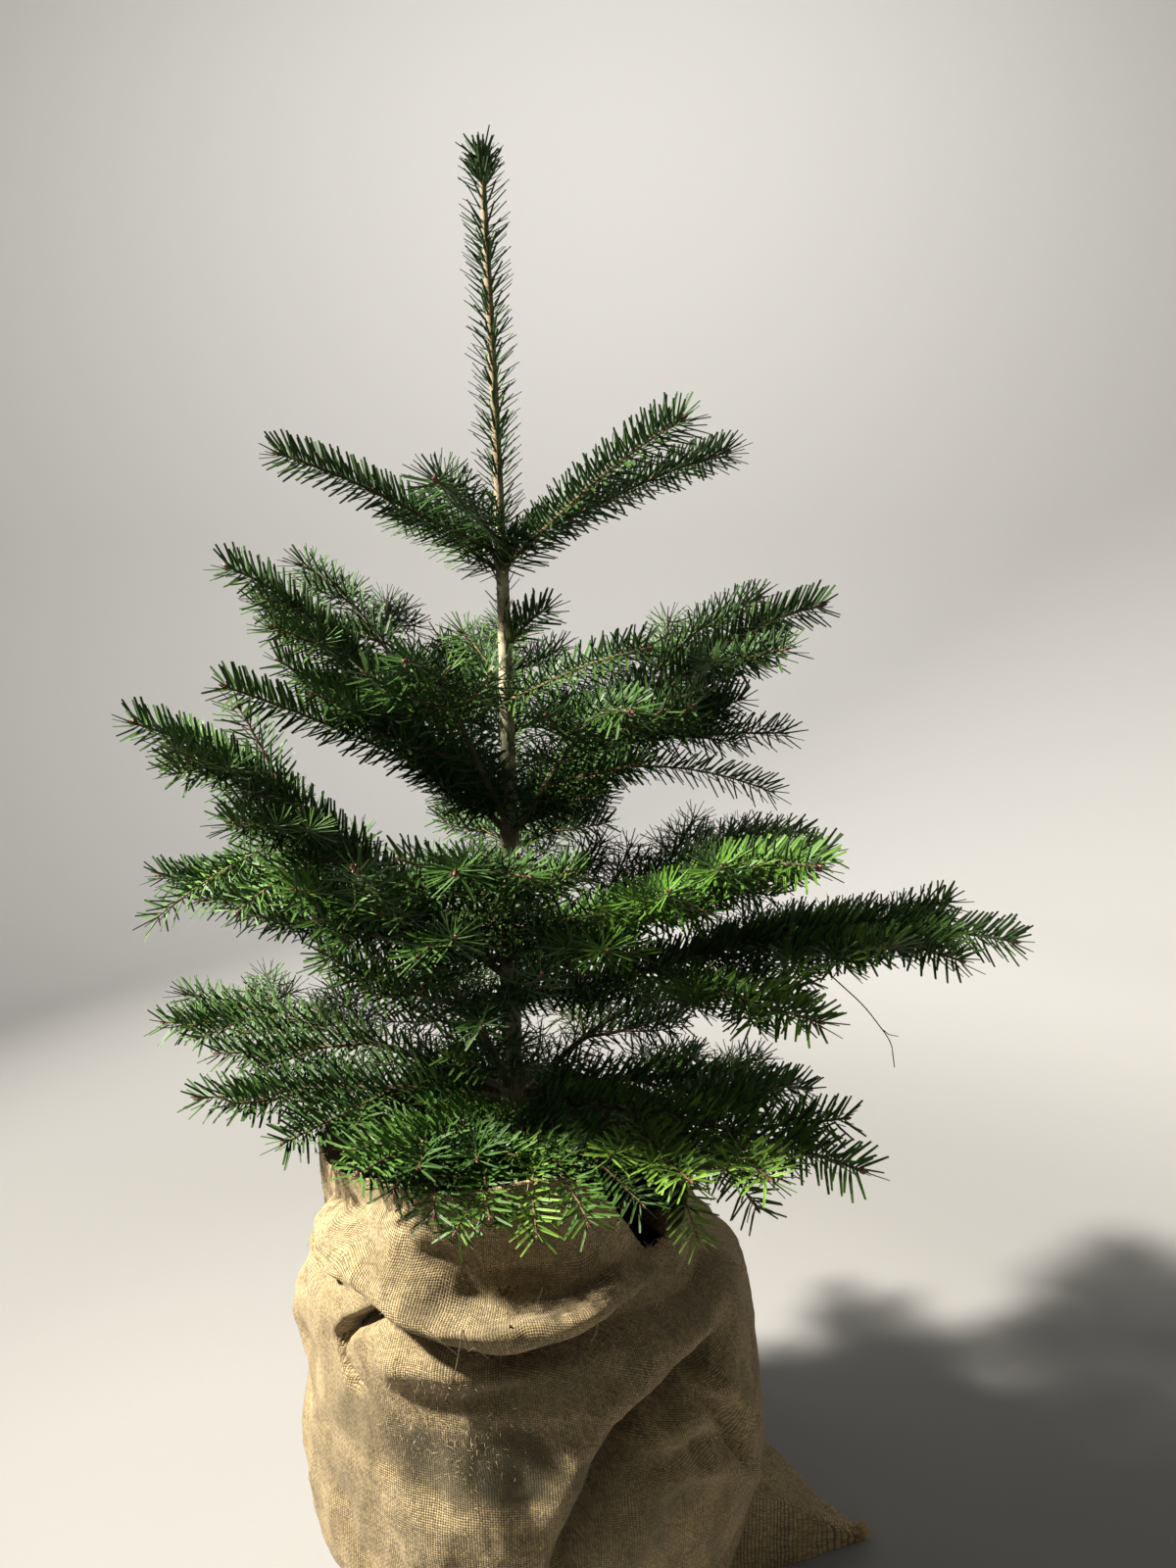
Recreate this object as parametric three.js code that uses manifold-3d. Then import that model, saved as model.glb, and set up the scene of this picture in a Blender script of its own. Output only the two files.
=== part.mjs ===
// A young fir, sold as a living Christmas tree, standing in a loose jute sack with its root ball.
// Millimetres, +Z up. The sack stands on z = 0, the trunk rises along the Z axis, and the side that the
// tree is looked at from is -Y. Bearings are in degrees round +Z: 0 is +X (right), 90 is +Y (back).
import * as THREE from 'three';
import { mergeVertices } from 'three/addons/utils/BufferGeometryUtils.js';
import Module from 'manifold-3d';

// Trunk: from its flat foot on the soil to the bud at the top of the leader.
const SOIL_TOP = 360;
const TRUNK_TIP = 1546;
const FOOT_RADIUS = 18;
const TRUNK_RADIUS = 14;
const SHOULDER_RADIUS = 6.2;
const LEADER_RADIUS = 5.2;
const TIP_RADIUS = 3.2;
const FLARE_HEIGHT = 70;
const SWAY = 10;
const SWAY_START = 450;
const COLLAR_SWELL = 0.22;
const COLLAR_HEIGHT = 16;
const TRUNK_SIDES = 9;
const TRUNK_RINGS = 26;

// Clearances between neighbouring pieces.
const GAP = 0.3;
const SPACE_BETWEEN = 0.5;

// Needle sprays: each tooth of a shoot's blade stands for a group of needles.
const NEEDLE_REACH = 24;
const NEEDLE_LEAN = 14;
const SPRAY_PITCH = 32;
const UP_ANGLE = 44;
const OUT_ANGLE = -34;
const NEEDLE_TAPER = 0.25;
const CROWDED_REACH = 0.3;
const CROWDED_LENGTH = 46;
const TUFT = 12;
const SHOOT_TIP_RADIUS = 1.3;
const STEM_EDGE = 0.9;
const STEM_EDGE_MARGIN = 0.8;

// Limbs, and the sleeve and needle groups of the leader.
const LIMB_SIDES = 6;
const LIMB_STEPS = 3;
const PATH_STEPS = 24;
const FRAME_STEP = 0.01;
const UPRIGHT = 0.98;
const LEADER_START = 1192;
const LEADER_TOP = 1572;
const LEADER_NEEDLES = 40;
const LEADER_TILT = 40;
const TOP_NEEDLES = 10;
const TOP_TILT = 66;
const SLEEVE = 2;
const SLEEVE_STEPS = 6;
const SPIKE_RADIUS = 1.7;
const SPIKE_LENGTH = 21;
const GOLDEN_ANGLE = 2.39996;

// Whorls of boughs up the trunk. A bough leaves the trunk at the whorl's height plus its own step, and
// ends at its reach from the trunk's axis and its rise above the start. Its needle mass begins at the
// share bare of its length, and carries a pair of side shoots at each fork, as a share of the length.
const WHORLS = [
  {
    name: 'top', collar: true, height: 1150, radius: 3,
    bare: 0, forks: [], bow: 6, bend: 1.6,
    boughs: [
      { side: 'left', bearing: 187, reach: 212, rise: 102, step: 3 },
      { side: 'front', bearing: 262, reach: 220, rise: 40, step: 17 },
      { side: 'front_right', bearing: 322, reach: 235, rise: 126, step: -12 },
      { side: 'back_right', bearing: 22, reach: 275, rise: 122, step: 13 },
      { side: 'back_left', bearing: 128, reach: 200, rise: 72, step: -15 },
    ],
  },
  {
    name: 'small', collar: false, height: 1000, radius: 2.4,
    bare: 0, forks: [], bow: 5, bend: 1.4,
    boughs: [
      { side: 'right', bearing: 8, reach: 54, rise: 40, step: 55 },
      { side: 'front_right', bearing: 318, reach: 205, rise: 58, step: 0 },
      { side: 'left', bearing: 172, reach: 86, rise: 46, step: -12 },
      { side: 'lower_left', bearing: 204, reach: 276, rise: 140, step: -112 },
      { side: 'back_left', bearing: 116, reach: 105, rise: 62, step: 10 },
    ],
  },
  {
    name: 'middle', collar: true, height: 860, radius: 4.6,
    bare: 0.2, forks: [0.34, 0.58], bow: 30, bend: 1.7,
    boughs: [
      { side: 'left', bearing: 187, reach: 268, rise: 288, step: -4 },
      { side: 'front_left', bearing: 253, reach: 215, rise: 188, step: 5 },
      { side: 'front_right', bearing: 303, reach: 245, rise: 150, step: -5 },
      { side: 'right', bearing: 352, reach: 335, rise: 230, step: 4 },
      { side: 'back_right', bearing: 34, reach: 370, rise: 250, step: -6 },
      { side: 'back', bearing: 92, reach: 300, rise: 215, step: 6 },
      { side: 'back_left', bearing: 142, reach: 310, rise: 284, step: 10 },
    ],
  },
  {
    name: 'low', collar: true, height: 700, radius: 5.4,
    bare: 0.22, forks: [0.3, 0.5, 0.7], bow: 34, bend: 1.5,
    boughs: [
      { side: 'left', bearing: 197, reach: 362, rise: 300, step: -6 },
      { side: 'front', bearing: 267, reach: 300, rise: 175, step: 8 },
      { side: 'front_right', bearing: 316, reach: 398, rise: 184, step: -6 },
      { side: 'right', bearing: 346, reach: 525, rise: 95, step: -30 },
      { side: 'back_right', bearing: 30, reach: 420, rise: 105, step: 6 },
      { side: 'back', bearing: 88, reach: 380, rise: 160, step: -4 },
      { side: 'back_left', bearing: 160, reach: 438, rise: 68, step: 13 },
    ],
  },
  {
    name: 'base', collar: true, height: 552, radius: 5.8,
    bare: 0.24, forks: [0.38, 0.66], bow: 16, bend: 0.9,
    boughs: [
      { side: 'left', bearing: 190, reach: 330, rise: 34, step: 2 },
      { side: 'front_left', bearing: 240, reach: 250, rise: 44, step: -16 },
      { side: 'front_tall', bearing: 245, reach: 262, rise: 310, step: 12 },
      { side: 'front', bearing: 276, reach: 215, rise: -16, step: -2 },
      { side: 'front_right', bearing: 324, reach: 415, rise: 40, step: -4 },
      { side: 'right', bearing: 8, reach: 345, rise: -18, step: 6 },
      { side: 'back_right', bearing: 52, reach: 390, rise: 50, step: -6 },
      { side: 'back', bearing: 108, reach: 370, rise: 45, step: 4 },
      { side: 'back_left', bearing: 156, reach: 458, rise: 58, step: 12 },
    ],
  },
];
const FORK_ANGLE = 46;
const FORK_ANGLE_VARY = 0.1;
const FORK_SHARE = 0.46;
const FORK_SHARE_GROWTH = 0.55;
const FORK_SHARE_VARY = 0.12;
const FORK_FORWARD = 0.16;
const FORK_SPREAD = 0.12;
const FORK_DROOP = 0.8;
const FORK_LEVEL = 0.4;
const FORK_RADIUS = 2.2;
const STEM_THIN = 0.55;
const STEM_STEP = 0.85;
const SWEEP = 12;
const SHORTEST_SHOOT = 45;

// Sack: the rows of its outer and its inner face, each from the middle of the bottom up to the rim. Each
// row has its radius and height, the radius and height that the slumped collar gives it at the front, and
// how far the row's centre lies to the right of the trunk.
const SACK_OUTER = [
  { radius: 0, height: 0, frontRadius: 0, frontHeight: 0, shift: 20 },
  { radius: 198, height: 0, frontRadius: 198, frontHeight: 0, shift: 20 },
  { radius: 228, height: 34, frontRadius: 228, frontHeight: 34, shift: 20 },
  { radius: 250, height: 110, frontRadius: 248, frontHeight: 110, shift: 20 },
  { radius: 263, height: 190, frontRadius: 256, frontHeight: 190, shift: 20 },
  { radius: 258, height: 270, frontRadius: 252, frontHeight: 280, shift: 20 },
  { radius: 250, height: 356, frontRadius: 246, frontHeight: 366, shift: 10 },
  { radius: 209, height: 392, frontRadius: 236, frontHeight: 397, shift: 8 },
  { radius: 206, height: 424, frontRadius: 250, frontHeight: 424, shift: -2 },
  { radius: 194, height: 466, frontRadius: 222, frontHeight: 462, shift: -4 },
  { radius: 178, height: 500, frontRadius: 180, frontHeight: 505, shift: -4 },
];
const SACK_INNER = [
  { radius: 0, height: 12, frontRadius: 0, frontHeight: 12, shift: 20 },
  { radius: 190, height: 12, frontRadius: 190, frontHeight: 12, shift: 20 },
  { radius: 217, height: 36, frontRadius: 217, frontHeight: 36, shift: 20 },
  { radius: 241, height: 120, frontRadius: 239, frontHeight: 120, shift: 20 },
  { radius: 246, height: 262, frontRadius: 242, frontHeight: 262, shift: 20 },
  { radius: 236, height: 342, frontRadius: 234, frontHeight: 342, shift: 12 },
  { radius: 197, height: 394, frontRadius: 200, frontHeight: 392, shift: 8 },
  { radius: 182, height: 440, frontRadius: 186, frontHeight: 440, shift: -2 },
  { radius: 168, height: 498, frontRadius: 170, frontHeight: 502, shift: -4 },
];
const RIM_HEIGHT = 500;
const SACK_SEGMENTS = 30;
const FRONT_BEARING = 265;
const FRONT_WIDTH = 75;
const MOUTH_DIP = 62;
const DIP_BEARING = 338;
const DIP_WIDTH = 62;
const DIP_START = 380;
const FOLD_DEPTH = 5;
const WIDE_FOLDS = 3;
const SHORT_FOLDS = 5;
const SHORT_FOLD_SHARE = 0.7;
const SHORT_FOLD_TWIST = 2;
// The sewn bottom corners that stick out: bearing, and how far out from the trunk's axis each one starts
// inside the sack's wall and ends. The stations give the share of that length at which a corner has
// narrowed to a share of its first height and width.
const CORNERS = [
  { bearing: 0, root: 205, tip: 388, height: 104, halfWidth: 60 },
  { bearing: 112, root: 190, tip: 335, height: 80, halfWidth: 60 },
];
const CORNER_STATIONS = [
  { along: 0, height: 1, width: 1 },
  { along: 0.44, height: 0.86, width: 0.7 },
  { along: 0.72, height: 0.36, width: 0.36 },
];
const CORNER_TIP_HEIGHT = 5;
const CORNER_TIP_HALF_WIDTH = 6;
const CORNER_RIDGE = 0.25;

// Root ball: the rows of its section. It rests in the bottom of the sack and carries the trunk.
const BALL_SHIFT = 14;
const BALL_SEGMENTS = 18;
const BALL_ROWS = [
  { radius: 0, height: 12 + GAP },
  { radius: 168, height: 12 + GAP },
  { radius: 194, height: 70 },
  { radius: 200, height: 310 },
  { radius: 180, height: 348 },
  { radius: 90, height: SOIL_TOP },
  { radius: 0, height: SOIL_TOP },
];
const BALL_LUMP = 4;
const BALL_LUMPS = 4;
const BALL_LUMP_PITCH = 50;

const wasm = await Module();
wasm.setup();
const { Manifold, Mesh: SolidMesh } = wasm;

const radians = THREE.MathUtils.degToRad;
const Z_AXIS = new THREE.Vector3(0, 0, 1);

// A closed geometry as a solid that can be joined and cut.
function solidOf(geometry) {
  const bare = new THREE.BufferGeometry();
  bare.setAttribute('position', geometry.getAttribute('position'));
  bare.setIndex(geometry.index);
  const merged = mergeVertices(bare, 1e-3);
  return new Manifold(new SolidMesh({
    numProp: 3,
    vertProperties: new Float32Array(merged.getAttribute('position').array),
    triVerts: new Uint32Array(merged.index.array),
  }));
}

function geometryOf(solid) {
  const mesh = solid.getMesh();
  const geometry = new THREE.BufferGeometry();
  geometry.setAttribute('position', new THREE.BufferAttribute(mesh.vertProperties, 3));
  geometry.setIndex(new THREE.BufferAttribute(mesh.triVerts, 1));
  geometry.computeVertexNormals();
  return geometry;
}

// Seeded numbers from 0 to 1, so that the tree grows the same way each time.
function seeded(seed) {
  let state = (seed * 2654435761) >>> 0;
  return () => {
    state = (Math.imul(state, 1664525) + 1013904223) >>> 0;
    return state / 4294967296;
  };
}

// A swelling from 0 to 1 round a bearing, as wide as it says on each side.
function swelling(bearing, centre, width) {
  const away = Math.abs(((bearing - centre + 540) % 360) - 180);
  return away < width ? 0.5 + 0.5 * Math.cos((Math.PI * away) / width) : 0;
}

// Trunk

function trunkCentre(height) {
  const share = Math.max(0, (height - SWAY_START) / (TRUNK_TIP - SWAY_START));
  return new THREE.Vector3(SWAY * Math.sin(Math.PI * Math.min(1, share)), 0, height);
}

function trunkRadius(height) {
  const top = WHORLS[0].height;
  const flare = FOOT_RADIUS - TRUNK_RADIUS;
  let radius = height < top
    ? THREE.MathUtils.mapLinear(height, SOIL_TOP, top, TRUNK_RADIUS, SHOULDER_RADIUS)
    : THREE.MathUtils.mapLinear(height, top, TRUNK_TIP, LEADER_RADIUS, TIP_RADIUS);
  radius += flare * Math.max(0, 1 - (height - SOIL_TOP) / FLARE_HEIGHT) ** 2;
  for (const whorl of WHORLS) {
    const away = (height - whorl.height) / COLLAR_HEIGHT;
    if (whorl.collar) radius *= 1 + COLLAR_SWELL * Math.exp(-away * away);
  }
  return radius;
}

// A straight rod bent along a path, with its radius taken from a function of the share 0 to 1.
function bentRod(path, radiusAt, sides, steps) {
  const geometry = new THREE.CylinderGeometry(1, 1, 1, sides, steps);
  const position = geometry.getAttribute('position');
  for (let i = 0; i < position.count; i++) {
    const share = THREE.MathUtils.clamp(position.getY(i) + 0.5, 0, 1);
    const frame = frameAt(path, share);
    const radius = radiusAt(share);
    const place = frame.centre
      .addScaledVector(frame.side, position.getX(i) * radius)
      .addScaledVector(frame.up, position.getZ(i) * radius);
    position.setXYZ(i, place.x, place.y, place.z);
  }
  return geometry;
}

// The centre, direction, side and up directions of a path at a share of its length.
function frameAt(path, share) {
  const before = path(Math.max(0, share - FRAME_STEP));
  const along = path(Math.min(1, share + FRAME_STEP)).sub(before).normalize();
  const guide = Math.abs(along.z) > UPRIGHT ? new THREE.Vector3(0, 1, 0) : Z_AXIS;
  const side = new THREE.Vector3().crossVectors(along, guide).normalize();
  const up = new THREE.Vector3().crossVectors(side, along);
  return { centre: path(share), along, side, up };
}

// The trunk, or the same rod made larger all round by a clearance.
function trunkRod(clearance) {
  const end = TRUNK_TIP + clearance;
  const path = (share) => trunkCentre(THREE.MathUtils.lerp(SOIL_TOP + GAP, end, share));
  const radiusAt = (share) => trunkRadius(path(share).z) + clearance;
  return bentRod(path, radiusAt, TRUNK_SIDES, TRUNK_RINGS);
}

// Boughs

// The path of a bough from the trunk's axis to its tip, bowed and swept a little to one side.
function boughPath(whorl, bough, random) {
  const start = trunkCentre(whorl.height + bough.step);
  const bearing = radians(bough.bearing);
  const tip = new THREE.Vector3(
    Math.cos(bearing) * bough.reach,
    Math.sin(bearing) * bough.reach,
    start.z + bough.rise,
  );
  const sideways = new THREE.Vector3(-Math.sin(bearing), Math.cos(bearing), 0);
  const sweep = SWEEP * (2 * random() - 1);
  return (share) => start.clone().lerp(tip, share)
    .addScaledVector(Z_AXIS, whorl.bow * Math.sin(Math.PI * share ** whorl.bend))
    .addScaledVector(sideways, sweep * Math.sin(Math.PI * share));
}

function pathLength(path) {
  let length = 0;
  for (let i = 0; i < PATH_STEPS; i++) {
    length += path(i / PATH_STEPS).distanceTo(path((i + 1) / PATH_STEPS));
  }
  return length;
}

// The stretch of a path between two shares, as a path of its own.
function stretch(path, from, to) {
  return (share) => path(THREE.MathUtils.lerp(from, to, share));
}

// A side shoot that leaves its parent at a fork and turns forward along its own length.
function sidePath(parent, share, hand, length, random) {
  const frame = frameAt(parent, share);
  const angle = radians(FORK_ANGLE * (1 + FORK_ANGLE_VARY * (2 * random() - 1)));
  const outward = frame.along.clone().multiplyScalar(Math.cos(angle))
    .addScaledVector(frame.side, hand * Math.sin(angle));
  outward.z *= FORK_LEVEL;
  outward.normalize();
  const lift = FORK_SPREAD * (2 * random() - FORK_DROOP);
  const end = outward.clone().multiplyScalar(1 - FORK_FORWARD)
    .addScaledVector(frame.along, FORK_FORWARD)
    .addScaledVector(frame.up, lift);
  const curve = new THREE.QuadraticBezierCurve3(
    frame.centre,
    frame.centre.clone().addScaledVector(outward, length / 2),
    frame.centre.clone().addScaledVector(end, length),
  );
  return (at) => curve.getPoint(at);
}

// The shoots of one bough: the main stem beyond its bare limb, and the pairs at its forks.
function shootsOf(whorl, bough, random) {
  const path = boughPath(whorl, bough, random);
  const length = pathLength(path);
  const main = {
    path: stretch(path, whorl.bare, 1),
    root: whorl.radius * (1 - STEM_THIN * whorl.bare) * (whorl.bare > 0 ? STEM_STEP : 1),
    crowded: whorl.bare === 0,
  };
  const sides = [];
  for (const fork of whorl.forks) {
    for (const hand of [-1, 1]) {
      const share = (FORK_SHARE + FORK_SHARE_GROWTH * fork) * (1 - fork);
      const reach = share * length * (1 + FORK_SHARE_VARY * (2 * random() - 1));
      const side = sidePath(path, fork, hand, reach, random);
      if (reach > SHORTEST_SHOOT) sides.push({ path: side, root: FORK_RADIUS, crowded: true });
    }
  }
  return { path, main, sides };
}

// One needled shoot: a stem with a row of teeth along each side, turned up and out by turns, each tooth
// ridged from the stem's top and bottom edge to its point. The spare size fattens it on every side.
function needledShoot(shoot, spare) {
  const length = pathLength(shoot.path);
  const count = Math.max(2, Math.round(length / SPRAY_PITCH));
  const points = [];
  const faces = [];
  const add = (vector) => points.push(vector) - 1;
  const radiusAt = (share) => THREE.MathUtils.lerp(shoot.root, SHOOT_TIP_RADIUS, share) + spare;
  const edge = (frame, hand, radius) => frame.centre.clone()
    .addScaledVector(frame.side, hand * (radius * STEM_EDGE + STEM_EDGE_MARGIN));

  const base = frameAt(shoot.path, 0);
  const baseTop = add(base.centre.clone().addScaledVector(base.up, radiusAt(0)));
  const baseBottom = add(base.centre.clone().addScaledVector(base.up, -radiusAt(0)));
  const ridges = [];
  for (let i = 0; i < count; i++) {
    const share = (i + 0.5) / count;
    const frame = frameAt(shoot.path, share);
    ridges.push({
      frame,
      share,
      top: add(frame.centre.clone().addScaledVector(frame.up, radiusAt(share))),
      bottom: add(frame.centre.clone().addScaledVector(frame.up, -radiusAt(share))),
    });
  }
  const end = frameAt(shoot.path, 1);
  const apex = add(end.centre.clone().addScaledVector(end.along, TUFT + spare));

  const baseEdges = {};
  for (const hand of [1, -1]) {
    const face = (a, b, c) => faces.push(...(hand > 0 ? [a, b, c] : [a, c, b]));
    let notch = add(edge(base, hand, radiusAt(0)));
    baseEdges[hand] = notch;
    face(baseTop, notch, ridges[0].top);
    face(baseBottom, ridges[0].bottom, notch);
    ridges.forEach((ridge, i) => {
      const { frame, share } = ridge;
      const clear = Math.min(1, CROWDED_REACH + (share * length) / CROWDED_LENGTH);
      const reach = (shoot.crowded ? clear : 1) * (1 - NEEDLE_TAPER * share * share);
      const angle = radians((i + (hand > 0 ? 0 : 1)) % 2 ? UP_ANGLE : OUT_ANGLE);
      const tip = add(frame.centre.clone()
        .addScaledVector(frame.side, hand * Math.cos(angle) * (NEEDLE_REACH * reach + spare))
        .addScaledVector(frame.up, Math.sin(angle) * (NEEDLE_REACH * reach + spare))
        .addScaledVector(frame.along, NEEDLE_LEAN * reach + spare));
      const last = i === count - 1;
      const next = last ? apex : add(edge(frameAt(shoot.path, (i + 1) / count), hand, radiusAt(share)));
      face(ridge.top, notch, tip);
      face(ridge.top, tip, next);
      face(ridge.bottom, tip, notch);
      face(ridge.bottom, next, tip);
      if (!last) {
        face(ridge.top, next, ridges[i + 1].top);
        face(ridge.bottom, ridges[i + 1].bottom, next);
      }
      notch = next;
    });
  }
  faces.push(baseTop, baseEdges[-1], baseBottom, baseTop, baseBottom, baseEdges[1]);

  const geometry = new THREE.BufferGeometry();
  const places = points.flatMap((point) => point.toArray());
  geometry.setAttribute('position', new THREE.Float32BufferAttribute(places, 3));
  geometry.setIndex(faces);
  return geometry;
}

// Crown

// What the crown has already taken up: solids with their boxes, tested before a new shoot is kept.
class Occupied {
  constructor() {
    this.items = [];
  }

  add(solid, owner) {
    this.items.push({ solid, owner, box: boxOf(solid) });
  }

  meets(solid, owner) {
    const box = boxOf(solid);
    return this.items.some((item) => item.owner !== owner && item.box.intersectsBox(box)
      && !item.solid.intersect(solid).isEmpty());
  }
}

// The outer body of a joined solid: loose scraps are dropped and sealed hollows filled.
function outerBody(solid) {
  return solid.decompose().reduce((kept, body) => (body.volume() > kept.volume() ? body : kept));
}

function boxOf(solid) {
  const { min, max } = solid.boundingBox();
  return new THREE.Box3(new THREE.Vector3(...min), new THREE.Vector3(...max));
}

// The bare limb of a bough, cut to the trunk's surface and ended where its needles begin.
function limbSolid(whorl, path, clearedTrunk) {
  const length = pathLength(path);
  const thin = (share) => whorl.radius * (1 - STEM_THIN * share * whorl.bare);
  const end = whorl.bare - GAP / length;
  return solidOf(bentRod(stretch(path, 0, end), thin, LIMB_SIDES, LIMB_STEPS)).subtract(clearedTrunk);
}

function growCrown(clearedTrunk, around) {
  const pieces = [];
  const occupied = new Occupied();
  around.forEach((solid) => occupied.add(solid, ''));
  const boughs = WHORLS.flatMap((whorl) => whorl.boughs.map((bough) => ({ whorl, bough })));
  boughs.forEach(({ whorl, bough }, index) => {
    const name = `${whorl.name}_${bough.side}`;
    const shoots = shootsOf(whorl, bough, seeded(index + 1));
    const piece = { name, ...shoots };
    if (whorl.bare > 0) {
      piece.limb = limbSolid(whorl, shoots.path, clearedTrunk);
      occupied.add(piece.limb, name);
    }
    pieces.push(piece);
  });
  for (const piece of pieces) {
    piece.mass = solidOf(needledShoot(piece.main, 0));
    if (!piece.limb) piece.mass = piece.mass.subtract(clearedTrunk);
    occupied.add(piece.mass, piece.name);
  }
  for (const piece of pieces) {
    for (const side of piece.sides) {
      const spread = solidOf(needledShoot(side, SPACE_BETWEEN));
      if (piece.limb.intersect(spread).isEmpty() && !occupied.meets(spread, piece.name)) {
        const shoot = solidOf(needledShoot(side, 0));
        piece.mass = piece.mass.add(shoot);
        occupied.add(shoot, piece.name);
      }
    }
  }
  return pieces.map((piece) => ({ ...piece, mass: outerBody(piece.mass) }));
}

// The leader's needles and top buds stand on a sleeve round the trunk.
function leaderSolid() {
  const path = (share) => trunkCentre(THREE.MathUtils.lerp(LEADER_START, LEADER_TOP, share));
  const radiusAt = (share) => trunkRadius(Math.min(TRUNK_TIP, path(share).z)) + SLEEVE;
  const parts = [solidOf(bentRod(path, radiusAt, TRUNK_SIDES, SLEEVE_STEPS))];
  for (let i = 0; i < LEADER_NEEDLES; i++) {
    const height = THREE.MathUtils.lerp(LEADER_START + SLEEVE, TRUNK_TIP, (i + 0.5) / LEADER_NEEDLES);
    const turn = i * GOLDEN_ANGLE;
    const tilt = radians(i >= LEADER_NEEDLES - TOP_NEEDLES ? TOP_TILT : LEADER_TILT);
    const direction = new THREE.Vector3(
      Math.cos(turn) * Math.cos(tilt),
      Math.sin(turn) * Math.cos(tilt),
      Math.sin(tilt),
    );
    parts.push(solidOf(spike(trunkCentre(height), direction, trunkRadius(height))));
  }
  return Manifold.union(parts);
}

// A three-sided needle group that starts off the axis by the given distance.
function spike(centre, direction, off) {
  const cone = new THREE.ConeGeometry(SPIKE_RADIUS, SPIKE_LENGTH, 3);
  cone.translate(0, SPIKE_LENGTH / 2 + off, 0);
  cone.applyQuaternion(new THREE.Quaternion().setFromUnitVectors(new THREE.Vector3(0, 1, 0), direction));
  cone.translate(centre.x, centre.y, centre.z);
  return cone;
}

// Sack and root ball

// A section turned round +Z, with each row's vertices put where the placing function says.
function turned(rows, segments, place) {
  const last = rows.length - 1;
  const profile = rows.map((row, i) => new THREE.Vector2(i === 0 || i === last ? 0 : 1, i));
  const geometry = new THREE.LatheGeometry(profile, segments);
  geometry.rotateX(Math.PI / 2);
  const position = geometry.getAttribute('position');
  for (let i = 0; i < position.count; i++) {
    const row = rows[Math.round(position.getZ(i))];
    const bearing = THREE.MathUtils.radToDeg(Math.atan2(position.getY(i), position.getX(i)));
    const point = place(row, THREE.MathUtils.euclideanModulo(Math.round(bearing * 100) / 100, 360));
    position.setXYZ(i, point.x, point.y, point.z);
  }
  return solidOf(geometry);
}

function sackPoint(row, bearing) {
  const front = swelling(bearing, FRONT_BEARING, FRONT_WIDTH);
  const turn = radians(bearing);
  const height = THREE.MathUtils.lerp(row.height, row.frontHeight, front);
  const loose = Math.min(1, height / DIP_START);
  const folds = Math.sin(WIDE_FOLDS * turn + 1)
    + SHORT_FOLD_SHARE * Math.sin(SHORT_FOLDS * turn - SHORT_FOLD_TWIST * loose);
  const spread = row.radius > 0 ? FOLD_DEPTH * loose * folds : 0;
  const radius = THREE.MathUtils.lerp(row.radius, row.frontRadius, front) + spread;
  const dip = MOUTH_DIP * swelling(bearing, DIP_BEARING, DIP_WIDTH);
  const drop = dip * Math.max(0, (height - DIP_START) / (RIM_HEIGHT - DIP_START));
  return new THREE.Vector3(row.shift + radius * Math.cos(turn), radius * Math.sin(turn), height - drop);
}

// A sewn corner of the sack: a pinched wedge that lies on the floor and narrows to a tip.
function cornerSolid(corner) {
  const stations = CORNER_STATIONS.map((station) => ({
    out: THREE.MathUtils.lerp(corner.root, corner.tip, station.along),
    height: corner.height * station.height,
    half: corner.halfWidth * station.width,
  }));
  stations.push({ out: corner.tip, height: CORNER_TIP_HEIGHT, half: CORNER_TIP_HALF_WIDTH });
  const spans = stations.length - 1;
  const geometry = new THREE.BoxGeometry(spans, 2, 1, spans, 1, 1);
  const position = geometry.getAttribute('position');
  for (let i = 0; i < position.count; i++) {
    const station = stations[Math.round(position.getX(i) + spans / 2)];
    const top = position.getZ(i) > 0;
    const half = station.half * (top ? CORNER_RIDGE : 1);
    position.setXYZ(i, station.out, Math.sign(position.getY(i)) * half, top ? station.height : 0);
  }
  geometry.rotateZ(radians(corner.bearing));
  return solidOf(geometry);
}

function sackSolid() {
  const body = turned([...SACK_OUTER, ...SACK_INNER.toReversed()], SACK_SEGMENTS, sackPoint);
  const lid = { ...SACK_INNER.at(-1), radius: 0, frontRadius: 0 };
  const hollow = turned([...SACK_INNER, lid], SACK_SEGMENTS, sackPoint);
  return CORNERS.reduce((sack, corner) => sack.add(cornerSolid(corner).subtract(hollow)), body);
}

function ballSolid() {
  const place = (row, bearing) => {
    const turn = radians(bearing);
    const lump = BALL_LUMP * Math.sin(BALL_LUMPS * turn + row.height / BALL_LUMP_PITCH);
    const radius = row.radius > 0 ? row.radius - BALL_LUMP + lump : 0;
    return new THREE.Vector3(BALL_SHIFT + radius * Math.cos(turn), radius * Math.sin(turn), row.height);
  };
  return turned(BALL_ROWS, BALL_SEGMENTS, place);
}

// The tree

const bark = { color: 0x8b8468, roughness: 0.85, metalness: 0 };
const twigBark = { color: 0x8a6a44, roughness: 0.8, metalness: 0 };
const needleGreens = [0x2c4a26, 0x35562a, 0x274322, 0x3d6330];
const jute = { color: 0xb59c72, roughness: 0.95, metalness: 0 };
const soil = { color: 0x3b2a1e, roughness: 1, metalness: 0 };

const tree = new THREE.Group();

function greenOf(index) {
  return { color: needleGreens[index % needleGreens.length], roughness: 0.55, metalness: 0 };
}

function addPiece(name, solid, finish) {
  const mesh = new THREE.Mesh(geometryOf(solid), new THREE.MeshStandardMaterial(finish));
  mesh.name = name;
  tree.add(mesh);
}

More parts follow.
